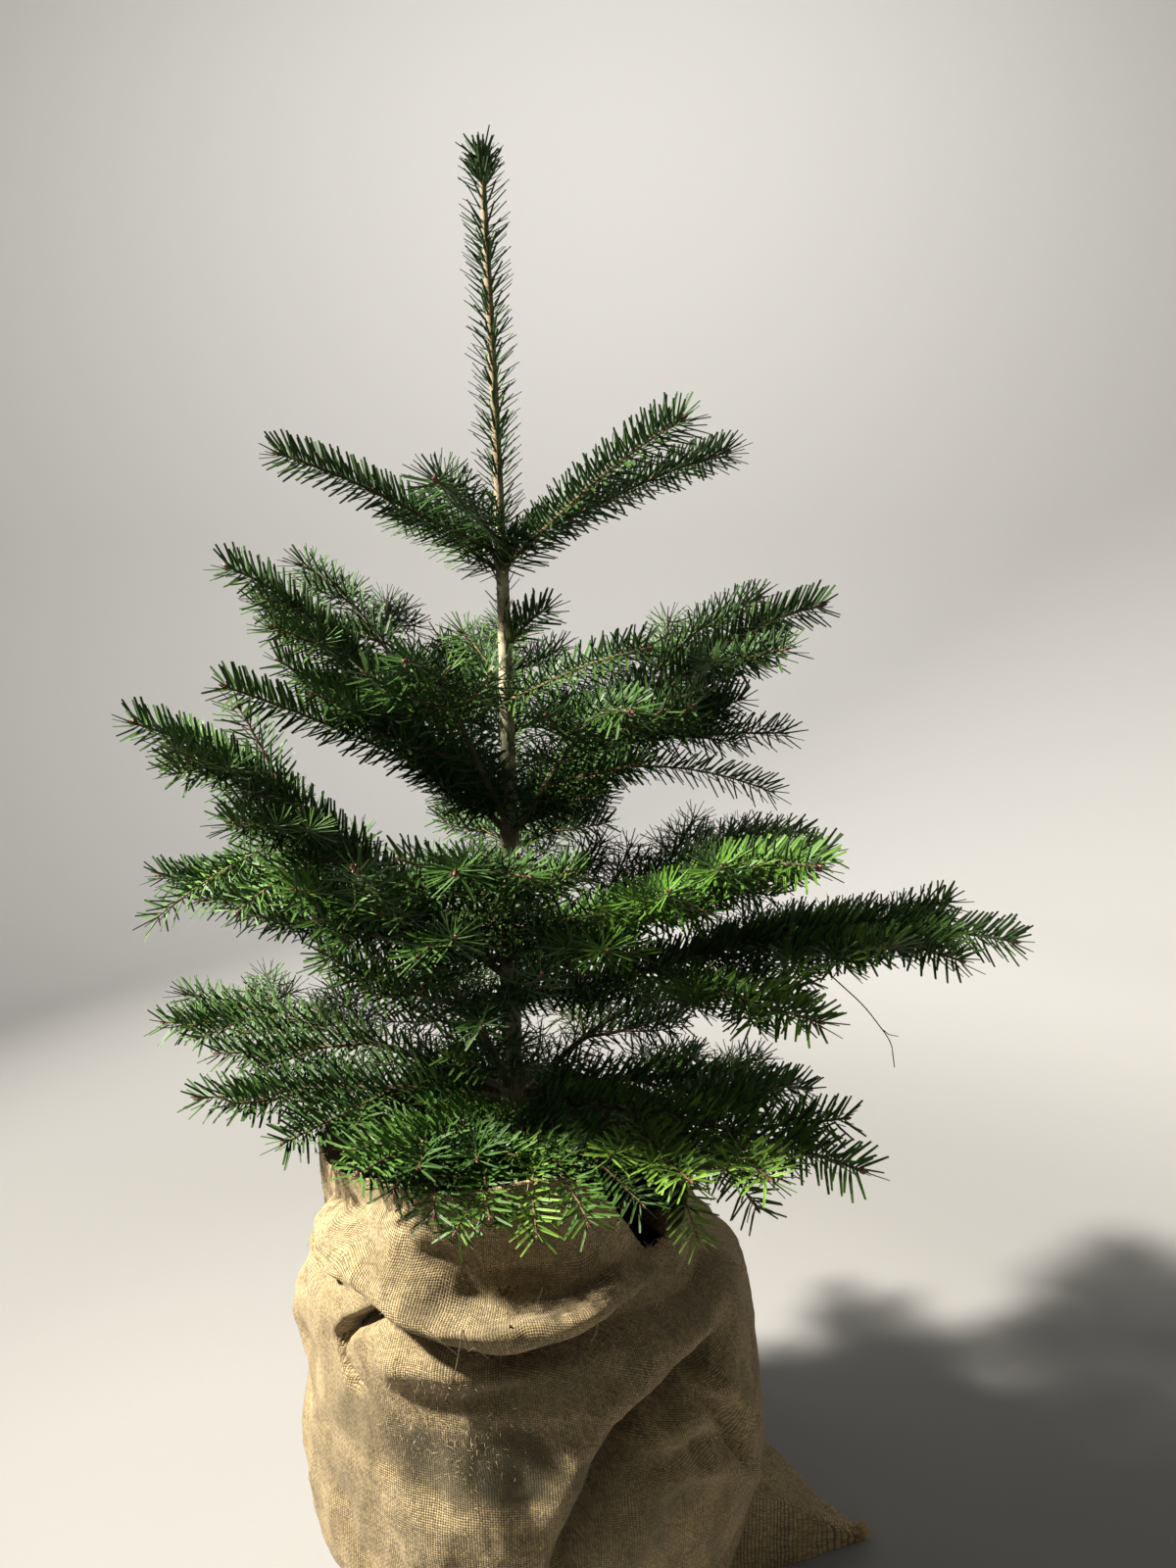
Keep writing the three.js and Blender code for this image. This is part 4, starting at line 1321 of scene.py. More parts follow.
@dataclass(frozen=True)
class NeedleForm:
    """Outline of a needle and how needles stand on a shoot."""

    length: float = 33
    width: float = 3.3
    keel: float = 1.0
    density: float = 0.80
    side_lean: float = 70
    top_lean: float = 58
    top_length: float = 0.84
    top_limit: float = 60
    side_limit: float = 146
    stations: tuple[float, ...] = (0.0, 0.32, 0.98)
    widths: tuple[float, ...] = (0.42, 1.0, 0.66)
    lean_vary: float = 3.5
    turn_vary: float = 5.0
    face_vary: float = 0.16
    crowds: tuple[float, ...] = (1.12, 1.0, 0.92)
    sizes: tuple[float, ...] = (1.0, 0.96, 0.88)
    size_vary: Pair = (0.92, 1.04)
    tip_zone: float = 14
    tip_lean: float = 0.68
    tip_length: float = 0.84
    foot_zone: float = 40
    foot_length: float = 0.6
    face_tilt: Pair = (0.85, 0.3)
    curl: float = 0.11
    curl_rise: float = 0.05
    curl_vary: float = 0.012
    sunk: float = 0.7
    ring_turn_vary: float = 8
    ring_curl: float = 0.16
    ring_curl_vary: float = 0.02
    ring_sunk: float = 0.85

    def shape(
        self,
        roots: Array,
        directions: Array,
        faces: Array,
        lengths: Array,
        bends: Array,
        slim: float = 1.0,
    ) -> Array:
        """Place the points of many needles.

        Args:
            roots: Where each needle starts.
            directions: Where it points.
            faces: Which way its upper face looks.
            lengths: How long it is.
            bends: How far its tip is carried off its straight line.
            slim: Its width as a share of the full one.

        Returns:
            Points as needles, stations, and left, right and keel.
        """
        across = unit(np.cross(directions, faces))
        normal = np.cross(across, directions)
        along = np.array(self.stations)[None, :, None]
        straight = roots[:, None] + directions[:, None] * lengths[:, None, None] * along
        centre = straight + bends[:, None] * along**2
        size = np.minimum(1, lengths / self.length)[:, None, None] ** 0.5
        half = np.array(self.widths)[None, :, None] * self.width / 2 * size * slim
        left = centre - across[:, None] * half
        right = centre + across[:, None] * half
        keel = centre - normal[:, None] * self.keel * np.array(self.widths)[None, :, None] * size
        return np.stack([left, right, keel], axis=2)

    def add(self, cloth: Cloth, points: Array, slot: int, under: int) -> None:
        """Add needles to a piece.

        Args:
            cloth: Where they are added.
            points: The needles' points.
            slot: Material of the upper faces.
            under: Material of the lower faces.
        """
        count, rows = points.shape[:2]
        flat = points.reshape(-1, 3)
        first = (np.arange(count) * rows * 3)[:, None, None] + (np.arange(rows - 1) * 3)[None, :, None]
        upper = (first + np.array([0, 1, 4, 3])).reshape(-1, 4)
        lower_left = (first + np.array([2, 0, 3, 5])).reshape(-1, 4)
        lower_right = (first + np.array([1, 2, 5, 4])).reshape(-1, 4)
        low = np.tile(self.stations[:-1], count)
        high = np.tile(self.stations[1:], count)
        shares = np.stack([low, low, high, high], axis=-1)
        right = np.stack([np.broadcast_to([0.0, 1.0, 1.0, 0.0], shares.shape), shares], axis=-1)
        left = np.stack([1 - right[..., 0], shares], axis=-1)
        cloth.add(flat, upper, slot, right)
        cloth.add(np.zeros((0, 3)), lower_left - len(flat), under, left)
        cloth.add(np.zeros((0, 3)), lower_right - len(flat), under, right)
        tips = (np.arange(count) * rows * 3 + (rows - 1) * 3)[:, None] + np.array([0, 1, 2])
        cloth.add(np.zeros((0, 3)), tips - len(flat), slot)

    def coat(self, shoot: Shoot, rng: Generator, fullness: float = 1.0) -> Array:
        """Grow the needles of a shoot: set spirally, and parted to the two sides below it.

        Args:
            shoot: The shoot.
            rng: Numbers for the small differences.
            fullness: How thickly they are set, as a share of the common measure.

        Returns:
            The needles' points.
        """
        start = shoot.bare
        crowd = self.crowds[shoot.order] * fullness
        count = max(6, int(shoot.length * (1 - start) * self.density * crowd))
        shares = start + (1 - start) * (np.arange(count) + rng.uniform(0.25, 0.75, count)) / count
        at = frames_of(shoot.path, np.minimum(shares, 1))
        raw = (np.arange(count) * GOLDEN_TURN + rng.normal(0, self.turn_vary, count) + 180) % 360 - 180
        wide = np.abs(raw)
        beyond = (wide - self.top_limit) * (self.side_limit - self.top_limit) / (180 - self.top_limit)
        parted = np.where(wide < self.top_limit, wide, self.top_limit + beyond)
        spread = np.radians(np.sign(raw) * parted)
        sideways = np.clip(parted / 80, 0, 1)
        lean = self.top_lean + (self.side_lean - self.top_lean) * sideways
        lean = lean + rng.normal(0, self.lean_vary, count)
        near_tip = np.clip((1 - shares) * shoot.length / self.tip_zone, 0, 1)
        lean = np.radians(lean * (self.tip_lean + (1 - self.tip_lean) * near_tip))
        size = self.top_length + (1 - self.top_length) * sideways
        size *= self.tip_length + (1 - self.tip_length) * near_tip
        size *= np.clip(self.foot_length + (shares - start) * shoot.length / self.foot_zone, 0, 1)
        size *= rng.uniform(*self.size_vary, count) * self.sizes[shoot.order]
        radial = at.up * np.cos(spread)[:, None] + at.side * np.sin(spread)[:, None]
        direction = unit(at.along * np.cos(lean)[:, None] + radial * np.sin(lean)[:, None])
        hand = np.sign(spread)[:, None]
        tangent = at.up * np.sin(np.abs(spread))[:, None] - at.side * np.cos(spread)[:, None] * hand
        outward, forward = self.face_tilt
        face = tangent * outward + at.along * forward + rng.normal(0, self.face_vary, (count, 3))
        lengths = self.length * size
        curl = at.along * self.curl + at.up * self.curl_rise * sideways[:, None]
        curl = curl + rng.normal(0, self.curl_vary, (count, 3))
        stem = shoot.root + (shoot.tip - shoot.root) * shares
        roots = at.centre + radial * (stem * self.sunk)[:, None]
        return self.shape(roots, direction, face, lengths, curl * lengths[:, None], shoot.slim)

    def ring_coat(
        self,
        path: Path,
        heights: Array,
        radii: Array,
        lean: Array,
        lengths: Array,
        rng: Generator,
    ) -> Array:
        """Grow needles all round an upright stem.

        Args:
            path: The stem, read at shares.
            heights: Share of each needle.
            radii: Radius of the stem there.
            lean: Angle of each needle from the stem, in degrees.
            lengths: Length of each needle.
            rng: Numbers for the small differences.

        Returns:
            The needles' points.
        """
        count = len(heights)
        at = frames_of(path, heights)
        turn = np.radians(np.arange(count) * GOLDEN_TURN + rng.normal(0, self.ring_turn_vary, count))
        radial = at.side * np.cos(turn)[:, None] + at.up * np.sin(turn)[:, None]
        tilt = np.radians(lean)[:, None]
        direction = unit(at.along * np.cos(tilt) + radial * np.sin(tilt))
        face = at.along + rng.normal(0, self.face_vary, (count, 3))
        curl = at.along * self.ring_curl + rng.normal(0, self.ring_curl_vary, (count, 3))
        roots = at.centre + radial * (radii * self.ring_sunk)[:, None]
        return self.shape(roots, direction, face, lengths, curl * lengths[:, None])


@dataclass(frozen=True)
class BudForm:
    """Small pointed buds in clusters at the tips."""

    length: float = 7.5
    radius: float = 2.7
    rings: int = 5
    sides: int = 6
    counts: tuple[int, ...] = (5, 3, 1)
    sizes: tuple[float, ...] = (1.0, 0.72, 0.5)
    side_size: float = 0.8
    side_leans: Pair = (0.7, 1.0)
    turn_vary: float = 0.3
    set_back: float = 1.5

    def add(self, cloth: Cloth, foot: Array, direction: Array, size: float) -> None:
        """Add one bud.

        Args:
            cloth: Where it is added.
            foot: Where it sits.
            direction: Where it points.
            size: Its size as a share of the full one.
        """
        end = foot + direction * self.length * size
        path = ShootPath(foot, (foot + end) / 2, end)
        shares = np.linspace(0, 1, self.rings)
        radii = self.radius * size * np.sqrt(np.maximum(0.02, np.sin(np.pi * (0.14 + 0.84 * shares))))
        add_rod(cloth, path, radii * (1 - 0.35 * shares), self.sides)

    def cluster(self, cloth: Cloth, shoot: Shoot, count: int, size: float, rng: Generator) -> None:
        """Add a cluster of buds at the tip of a shoot.

        Args:
            cloth: Where they are added.
            shoot: The shoot.
            count: How many buds.
            size: Size of the end one.
            rng: Numbers for the small differences.
        """
        at = frames_of(shoot.path, np.array([1.0]))
        tip = at.centre[0]
        for number in range(count):
            lean = 0.0 if number == 0 else rng.uniform(*self.side_leans)
            turn = number * 2 * np.pi / max(1, count - 1) + rng.uniform(-self.turn_vary, self.turn_vary)
            out = at.side[0] * math.cos(turn) + at.up[0] * math.sin(turn)
            direction = unit(at.along[0] * math.cos(lean) + out * math.sin(lean))
            foot = tip - at.along[0] * self.set_back * (number > 0)
            self.add(cloth, foot, direction, size * (1 if number == 0 else self.side_size))


# Crown


@dataclass
class Crown:
    """All boughs with their twigs, needles and buds."""

    trunk: Trunk
    rule: GrowthRule = field(default_factory=GrowthRule)
    needles: NeedleForm = field(default_factory=NeedleForm)
    buds: BudForm = field(default_factory=BudForm)
    triangles: int = 0
    # The first four lists set painted light and shade on the greens: the first takes lighter greens as
    # painted sunlight, the second young and lighter greens, partly young growth and partly painted light,
    # the third darker greens as painted shade, and the fourth lighter greens as painted light where the
    # crown shades them.
    painted_sunlit: tuple[str, ...] = ("low_front_right", "base_front_right")
    young_and_painted_lit: tuple[str, ...] = ("base_front",)
    painted_shaded: tuple[str, ...] = ("base_left", "middle_back_left", "low_back_left", "base_back_left")
    painted_light_in_shade: tuple[str, ...] = ("base_right", "low_right")
    sparse: tuple[str, ...] = ("base_back_right", "base_back", "low_back_right")
    rich: tuple[str, ...] = ("top_front_right", "top_back_right", "low_right")
    thin: float = 0.74
    thick: float = 1.25
    stem_share: float = 0.88
    bare_share: float = 0.35
    ring_steps: tuple[float, ...] = (3.2, 8, 8)
    stem_sides: tuple[int, ...] = (11, 7, 6)
    stem_tapers: tuple[float, ...] = (0.8, 1, 1)
    knuckle: float = 0.28
    knuckle_length: float = 6
    stem_rough: float = 0.13

    def tint_of(self, name: str, numbers: SeededNumbers) -> Tint:
        """Deal a green to a spray.

        Args:
            name: The bough.
            numbers: A run of numbers for the dealing.

        Returns:
            The green.
        """
        draw = numbers.next()
        # Lighter greens on some named boughs are painted light, darker greens on others painted shade; the
        # rest are dealt at random.
        if name in self.painted_sunlit:
            return Tint.YOUNG if draw < 0.12 else Tint.BRIGHT if draw < 0.8 else Tint.MIDDLE
        if name in self.painted_shaded:
            return Tint.DEEP if draw < 0.7 else Tint.DARK
        if name in self.painted_light_in_shade:
            return Tint.BRIGHT if draw < 0.55 else Tint.MIDDLE
        if name in self.young_and_painted_lit:
            return Tint.YOUNG if draw < 0.35 else Tint.BRIGHT if draw < 0.7 else Tint.MIDDLE
        if draw < 0.26:
            return Tint.DEEP
        return Tint.DARK if draw < 0.66 else Tint.MIDDLE

    def crowding(self, whorl: Whorl, name: str) -> float:
        """Return how thickly a bough's needles are set, as a share of the common measure."""
        share = self.thin if name in self.sparse else self.thick if name in self.rich else 1.0
        return whorl.fullness * share

    def grow(self, whorl: Whorl, bough: Bough, index: int) -> tuple[Path, list[Shoot]]:
        """Grow the shoots of one bough.

        Args:
            whorl: Its whorl.
            bough: Its sizes.
            index: Its number in the crown.

        Returns:
            Its path from the trunk, and its shoots, the main one first.
        """
        name = f"{whorl.name}_{bough.side}"
        numbers = SeededNumbers(index + 1)
        finer = SeededNumbers(index + 501)
        start = self.trunk.centre(np.array([whorl.height + bough.step]))[0]
        path = self.rule.bough_path(whorl, bough, start, numbers)
        tint = self.tint_of(name, finer)
        thick, bare = whorl.radius * self.stem_share, whorl.bare * self.bare_share
        main = Shoot(path, length_of(path), thick, self.rule.shoot_tip, 0, tint, bare)
        sides = self.rule.side_shoots(whorl, path, tint, numbers)
        shoots = [main, *sides]
        for side in sides:
            side.tint = self.tint_of(name, finer)
            if side.length > self.rule.once_over:
                twice = side.length > self.rule.twice_over
                forks = self.rule.twice_forks if twice else self.rule.once_forks
                shoots += self.rule.finer(side, forks, finer)
        shoots += self.rule.fillers(whorl, main, finer)
        for loose in LOOSE_SHOOTS:
            if loose.bough == name:
                shoots += self.loose(loose, path, finer)
        return path, [shoot for shoot in shoots if not self.rule.hides_trunk(shoot)]

    def loose(self, loose: LooseShoot, bough: Path, numbers: SeededNumbers) -> list[Shoot]:
        """Grow a shoot outside the rule, with one pair of twigs if it is long.

        Args:
            loose: Where it goes.
            bough: The path of its bough.
            numbers: A run of numbers for the fine twigs.

        Returns:
            The shoot and its twigs.
        """
        start = bough.at(np.array([loose.fork]))[0]
        tip = np.array(loose.tip, float)
        path = ShootPath(start, (start + tip) / 2 + Z_AXIS * loose.arch, tip)
        order = loose.order
        thick = 2.0 if order == 1 else 1.5
        shoot = Shoot(path, length_of(path), thick, 0.9, order, loose.tint, slim=loose.slim)
        if order == 1 and shoot.length > self.rule.loose_over:
            return [shoot, *self.rule.finer(shoot, self.rule.loose_forks, numbers)]
        return [shoot]

    def build(self) -> list[Piece]:
        """Make every bough's wood and needles, and the buds.

        Returns:
            The pieces.
        """
        pieces = []
        buds = Cloth()
        index = 0
        for whorl in WHORLS:
            for bough in whorl.boughs:
                name = f"{whorl.name}_{bough.side}"
                path, shoots = self.grow(whorl, bough, index)
                rng = np.random.default_rng(index + 7)
                wood = self.wood(whorl, shoots)
                coat = Cloth()
                for shoot in shoots:
                    needles = self.needles.coat(shoot, rng, self.crowding(whorl, name))
                    self.needles.add(coat, needles, shoot.tint.value, len(Tint))
                    count, size = self.buds.counts[shoot.order], self.buds.sizes[shoot.order]
                    self.buds.cluster(buds, shoot, count, size, rng)
                spray = coat.piece(f"{name}_spray", [*GREENS, UNDERSIDE], smooth=False)
                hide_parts(f"{name}_needles")
                stems = wood.piece(f"{name}_stems", [OLD_BARK, YOUNG_BARK])
                if whorl.bare > 0:
                    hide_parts(f"{name}_bough")
                self.triangles += coat.triangles() + wood.triangles()
                LOG.info("%s: %d shoots, %d triangles", name, len(shoots), coat.triangles())
                pieces += [spray, stems]
                index += 1
        cluster = buds.piece("tip_buds", [BUD_SCALES])
        self.triangles += buds.triangles()
        return [*pieces, cluster]

    def wood(self, whorl: Whorl, shoots: Sequence[Shoot]) -> Cloth:
        """Make the stems of one bough.

        Args:
            whorl: Its whorl.
            shoots: Its shoots.

        Returns:
            The stems.
        """
        cloth = Cloth()
        noise = SoftNoise(3)
        for shoot in shoots:
            rings = max(6, int(shoot.length / self.ring_steps[shoot.order]))
            sides = self.stem_sides[shoot.order]
            shares = np.linspace(0, 1, rings)
            taper = self.stem_tapers[shoot.order]
            radii = shoot.root + (shoot.tip - shoot.root) * shares**taper
            for fork in whorl.forks if shoot.order == 0 else ():
                away = (shares - fork) * shoot.length / self.knuckle_length
                radii = radii * (1 + self.knuckle * np.exp(-(away**2)))
            spots = ring_points(5, turns(sides), (shares * shoot.length)[:, None])
            rough = noise.at(spots.reshape(-1, 3) + shoot.length, (3, 3, 4)).reshape(rings, sides)
            ring = radii[:, None] * (1 + self.stem_rough * rough)
            add_rod(cloth, shoot.path, ring, sides, 0 if shoot.order == 0 and whorl.bare > 0 else 1)
        return cloth


@dataclass(frozen=True)
class Band:
    """Needles that stand round the trunk between two heights: how many, how long and at what angles."""

    low: float
    high: float
    count: int
    lengths: Pair
    leans: Pair


@dataclass
class Leader:
    """The tree's top: needles all round the trunk's end, its bud crown, and the sparse needles below it."""

    trunk: Trunk
    needles: NeedleForm = field(default_factory=lambda: NeedleForm(length=24, width=2.9, keel=0.9))
    buds: BudForm = field(default_factory=BudForm)
    bands: tuple[Band, ...] = (
        Band(1172, 1532, 340, (21, 27), (50, 74)),
        Band(1516, 1543, 96, (17, 25), (24, 78)),
        Band(1008, 1160, 40, (13, 22), (42, 66)),
        Band(870, 1006, 22, (12, 19), (45, 80)),
    )
    bud_heights: tuple[float, ...] = (1180, 1246, 1317, 1371, 1462)

    def build(self) -> list[Piece]:
        """Make the leader's needles and buds.

        Returns:
            The pieces.
        """
        rng = np.random.default_rng(91)
        coat = Cloth()
        for band in self.bands:
            self.add_band(coat, band, rng)
        spray = coat.piece("leader_spray", [*GREENS, UNDERSIDE], smooth=False)
        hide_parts("leader_needles")
        buds = Cloth()
        top = Stretch(self.trunk, 0.97, 1)
        crown = Shoot(top, 20, 3.2, 3.0, 0, Tint.DARK)
        self.buds.cluster(buds, crown, 7, 1.3, rng)
        for height in self.bud_heights:
            at = self.trunk.centre(np.array([height]))[0]
            turn = rng.uniform(3.4, 6.0)
            out = level(turn)
            self.buds.add(buds, at + out * 4, unit(out + Z_AXIS), 0.6)
        cluster = buds.piece("leader_buds", [BUD_SCALES])
        return [spray, cluster]

    def add_band(self, coat: Cloth, band: Band, rng: Generator) -> None:
        """Add the needles between two heights.

        Args:
            coat: Where they are added.
            band: Where they stand, and how.
            rng: Numbers for the small differences.
        """
        heights = np.sort(rng.uniform(band.low, band.high, band.count))
        foot = self.trunk.soil_top - self.trunk.sunk
        shares = (heights - foot) / (self.trunk.tip - foot)
        radii = self.trunk.radius(heights)
        lean = rng.uniform(*band.leans, band.count)
        lengths = rng.uniform(*band.lengths, band.count)
        points = self.needles.ring_coat(self.trunk, shares, radii, lean, lengths, rng)
        self.needles.add(coat, points, Tint.DEEP.value, len(Tint))


# Sack


@dataclass(frozen=True)
class Row:
    """One row of the sack's section: its size, its size at the slumped front, and how far it lies right."""

    radius: float
    height: float
    front_radius: float
    front_height: float
    shift: float


@dataclass(frozen=True)
class Fold:
    """A fold of the cloth along a line of bearings and heights: below zero a crease, above zero a ridge."""

    line: tuple[Pair, ...]
    depth: float
    width: float
    run_out: float = 0.25

    def push(self, bearing: Array, height: Array, radius: float = 250) -> Array:
        """Push the cloth in or out.

        Args:
            bearing: Bearings of the cloth's points.
            height: Their heights.
            radius: Radius that turns bearings into lengths.

        Returns:
            How far each point moves outward.
        """
        scale = math.radians(1) * radius
        best = np.full(bearing.shape, np.inf)
        share = np.zeros(bearing.shape)
        spans = len(self.line) - 1
        for number in range(spans):
            (first, low), (second, high) = self.line[number], self.line[number + 1]
            run = np.array([(second - first) * scale, high - low])
            across = ((bearing - first + 540) % 360 - 180) * scale
            up = height - low
            along = np.clip((across * run[0] + up * run[1]) / (run @ run), 0, 1)
            away = np.hypot(across - along * run[0], up - along * run[1])
            nearer = away < best
            best = np.where(nearer, away, best)
            share = np.where(nearer, (number + along) / spans, share)
        ends = np.clip(np.minimum(share, 1 - share) / self.run_out, 0, 1)
        ends = ends * ends * (3 - 2 * ends)
        return self.depth * np.exp(-((best / self.width) ** 2)) * (0.15 + 0.85 * ends)


@dataclass(frozen=True)
class Corner:
    """A sewn bottom corner that sticks out: bearing, where it starts and ends, and its first height."""

    bearing: float
    root: float
    tip: float
    height: float
    half_width: float
    tip_half: float = 4
    along: tuple[float, ...] = (1.0, 0.72, 0.44, 0.0)
    widths: tuple[float, ...] = (0.36, 0.72, 1.25)
    heights: tuple[float, ...] = (0.05, 0.36, 0.86, 1.25)
    lip: float = 0.5

    def push(self, bearing: Array, height: Array, radius: Array) -> Array:
        """Carry the cloth out into the corner.

        Args:
            bearing: Bearings of the cloth's points.
            height: Their heights.
            radius: Their radius without the corner.

        Returns:
            Their new radius.
        """
        away = np.abs((bearing - self.bearing + 540) % 360 - 180)
        reaches = self.root + np.array(self.along) * (self.tip - self.root)
        halves = np.array([self.tip_half, *(width * self.half_width for width in self.widths)])
        by_side = np.interp(away, np.degrees(np.arctan(halves / reaches)), reaches)
        by_height = np.interp(height, self.height * np.array(self.heights), reaches)
        lip = self.tip - self.lip * (self.tip - by_side)
        return np.maximum(radius, np.minimum(np.minimum(by_side, by_height), lip))


@dataclass
class Sack:
    """The jute sack: one sheet of cloth up to a slumped collar, folded in at the mouth."""

    rows: tuple[Row, ...] = (
        Row(0, 0, 0, 0, 20),
        Row(198, 0, 198, 0, 20),
        Row(228, 34, 228, 34, 20),
        Row(250, 110, 248, 110, 20),
        Row(263, 190, 256, 190, 20),
        Row(258, 270, 252, 280, 20),
        Row(250, 356, 246, 366, 10),
        Row(209, 392, 236, 397, 8),
        Row(206, 424, 250, 424, -2),
        Row(194, 466, 214, 462, -4),
        Row(178, 500, 178, 505, -4),
    )
    rim_height: float = 500
    raised_rim: tuple[Pair, ...] = (
        (0, 8), (60, 10), (95, 14), (160, 20), (200, 28), (234, 46),
        (280, 50), (300, 58), (309, 40), (318, 0), (350, 0), (359, 8),
    )
    front_bearing: float = 265
    front_width: float = 75
    mouth_dip: float = 62
    dip_bearing: float = 328
    dip_width: float = 42
    dip_start: float = 380
    rise_start: float = 452
    wave_start: float = 430
    slump_start: float = 275
    roll_rise: float = 6
    roll_width: float = 9
    roll_bearing: float = 274
    roll_spread: float = 38
    roll_sag: float = 19
    pocket_depth: float = 42
    pocket_bearing: float = 280
    pocket_width: float = 29
    pocket_drop: float = 28
    drop_rise: float = 13
    drop_width: float = 11
    lip_height: float = 453
    lip_rise: float = 16
    fold_depth: float = 5
    base_crease: float = 395
    columns: int = 400
    samples: int = 158
    close_above: float = 352
    close_share: float = 1.8
    inside: float = 150
    rim_wave: float = 7
    thickness: float = 2.0
    wrinkle_depths: Triple = (4.5, 3.4, 0.9)
    ripples: tuple[Triple, ...] = ((4, 0.6, 0.5), (9, 2.0, 0.35), (17, 0, 0.18))
    smoothing: int = 26
    map_radius: float = 252
    map_reach: int = 17
    above_foot: int = 30
    crease_line: tuple[Pair, ...] = (
        (0, 405), (40, 398), (90, 395), (140, 402), (175, 430), (206, 462), (230, 460), (246, 442),
        (252, 440), (260, 435), (268, 433), (276, 439), (290, 437), (302, 431), (314, 423),
        (328, 416), (340, 416),
    )
    folds: tuple[Fold, ...] = (
        Fold((
            (194, 458), (208, 463), (222, 464), (232, 461), (240, 454), (247, 444), (253, 438), (260, 432),
        ), -24, 8, 0.12),
        Fold((
            (254, 435), (261, 426), (269, 414), (276, 418), (290, 421),
            (302, 418), (314, 411), (328, 402), (345, 402),
        ), -48, 12, 0.14),
        Fold(((274, 415), (290, 417), (302, 414), (314, 407), (330, 400)), -20, 12, 0.2),
        Fold(((188, 436), (202, 444), (218, 444), (232, 436)), 17, 15, 0.3),
        Fold(((198, 492), (216, 488), (230, 482), (242, 470)), 12, 20, 0.3),
        Fold(((229, 507), (238, 497), (246, 485)), -15, 11, 0.35),
        Fold((
            (236, 466), (250, 456), (262, 447), (272, 442), (286, 445), (300, 444), (316, 432), (332, 422),
        ), 14, 11, 0.2),
        Fold(((256, 462), (266, 453), (276, 449), (288, 450), (299, 455), (306, 464)), 9, 8, 0.3),
        Fold(((249, 500), (257, 485), (264, 472), (270, 462)), -20, 11, 0.3),
        Fold(((242, 484), (251, 471), (258, 459)), 10, 12, 0.3),
        Fold(((206, 500), (220, 492), (236, 480), (250, 466)), 15, 24, 0.3),
        Fold(((234, 352), (228, 366), (226, 384), (230, 406), (239, 429), (248, 443)), -36, 6, 0.1),
        Fold(((237, 380), (245, 398), (256, 402), (270, 396)), 13, 20, 0.3),
        Fold(((240, 360), (250, 367), (260, 370), (269, 379), (277, 385)), -5, 9, 0.3),
        Fold(((249, 442), (256, 431), (264, 418)), -24, 5, 0.2),
        Fold((
            (336, 366), (324, 350), (312, 341), (303, 330), (294, 315),
            (289, 288), (285, 250), (281, 210), (276, 150), (271, 90),
        ), -46, 15, 0.22),
        Fold(((318, 384), (306, 366), (294, 348), (284, 316), (279, 270), (274, 210)), 12, 20, 0.3),
        Fold(((338, 330), (322, 318), (308, 300), (301, 262), (296, 215), (292, 160)), 13, 20, 0.3),
        Fold(((312, 326), (317, 308), (321, 290), (325, 256), (329, 214), (338, 165)), -22, 7, 0.15),
        Fold(((319, 332), (325, 302), (330, 266), (336, 218)), 13, 11, 0.2),
        Fold(((299, 282), (309, 278), (319, 260), (328, 226)), -12, 8, 0.2),
        Fold(((297, 262), (307, 256), (318, 237), (330, 197), (345, 130)), 11, 11, 0.25),
        Fold(((178, 272), (192, 268), (208, 276)), -11, 24, 0.3),
        Fold(((168, 50), (188, 46), (206, 50), (222, 60)), -20, 36, 0.3),
        Fold(((345, 120), (330, 100), (312, 60), (296, 20)), -12, 14, 0.35),
        Fold(((192, 412), (204, 426), (216, 434), (228, 437)), -21, 6, 0.25),
        Fold(((186, 384), (196, 376), (208, 384)), -8, 8, 0.3),
        Fold(((186, 318), (202, 326), (218, 330)), -8, 16, 0.35),
        Fold(((215, 250), (225, 200), (230, 150), (236, 90)), -7, 18, 0.3),
        Fold(((170, 400), (150, 360), (140, 300)), -10, 15, 0.3),
        Fold(((60, 380), (72, 330), (70, 270), (78, 200)), -12, 18, 0.3),
        Fold(((30, 390), (20, 340), (24, 280), (15, 210)), -10, 16, 0.3),
        Fold(((120, 370), (112, 300), (118, 220), (112, 150)), -11, 17, 0.3),
        Fold(((95, 300), (92, 240), (97, 180)), 7, 20, 0.3),
        Fold(((352, 330), (345, 270), (350, 200), (356, 130)), -9, 15, 0.3),
        Fold(((262, 170), (250, 130), (246, 90)), -6, 16, 0.3),
        Fold(((340, 455), (348, 430), (352, 410)), -9, 9, 0.3),
        Fold(((172, 499), (188, 494), (203, 494), (216, 504)), -29, 24, 0.3),
        Fold(((172, 384), (186, 382), (200, 388)), -23, 22, 0.3),
        Fold(((170, 330), (186, 328), (198, 332)), 14, 24, 0.3),
        Fold(((334, 416), (347, 419), (358, 420)), 10, 26, 0.35),
    )
    corners: tuple[Corner, ...] = (Corner(0, 205, 388, 104, 60), Corner(112, 190, 335, 80, 60))
    ear_left: tuple[Triple, ...] = ((142, -152, 460), (154, -154, 447), (167, -156, 435))
    ear_right: tuple[Triple, ...] = ((183, -124, 470), (188, -128, 445), (176, -150, 433))
    ear_arch: float = 9
    ear_cells: int = 22
    ear_span: float = 2.0
    ear_threads: int = 46
    rim_threads: int = 150
    fibre_counts: tuple[int, int] = (5200, 1500)
    tail_threads: tuple[int, int] = (46, 30)
    pulled: tuple[Triple, ...] = ((300, 424, 16), (283, 452, 12), (292, 436, 14))
    crumb_count: int = 18

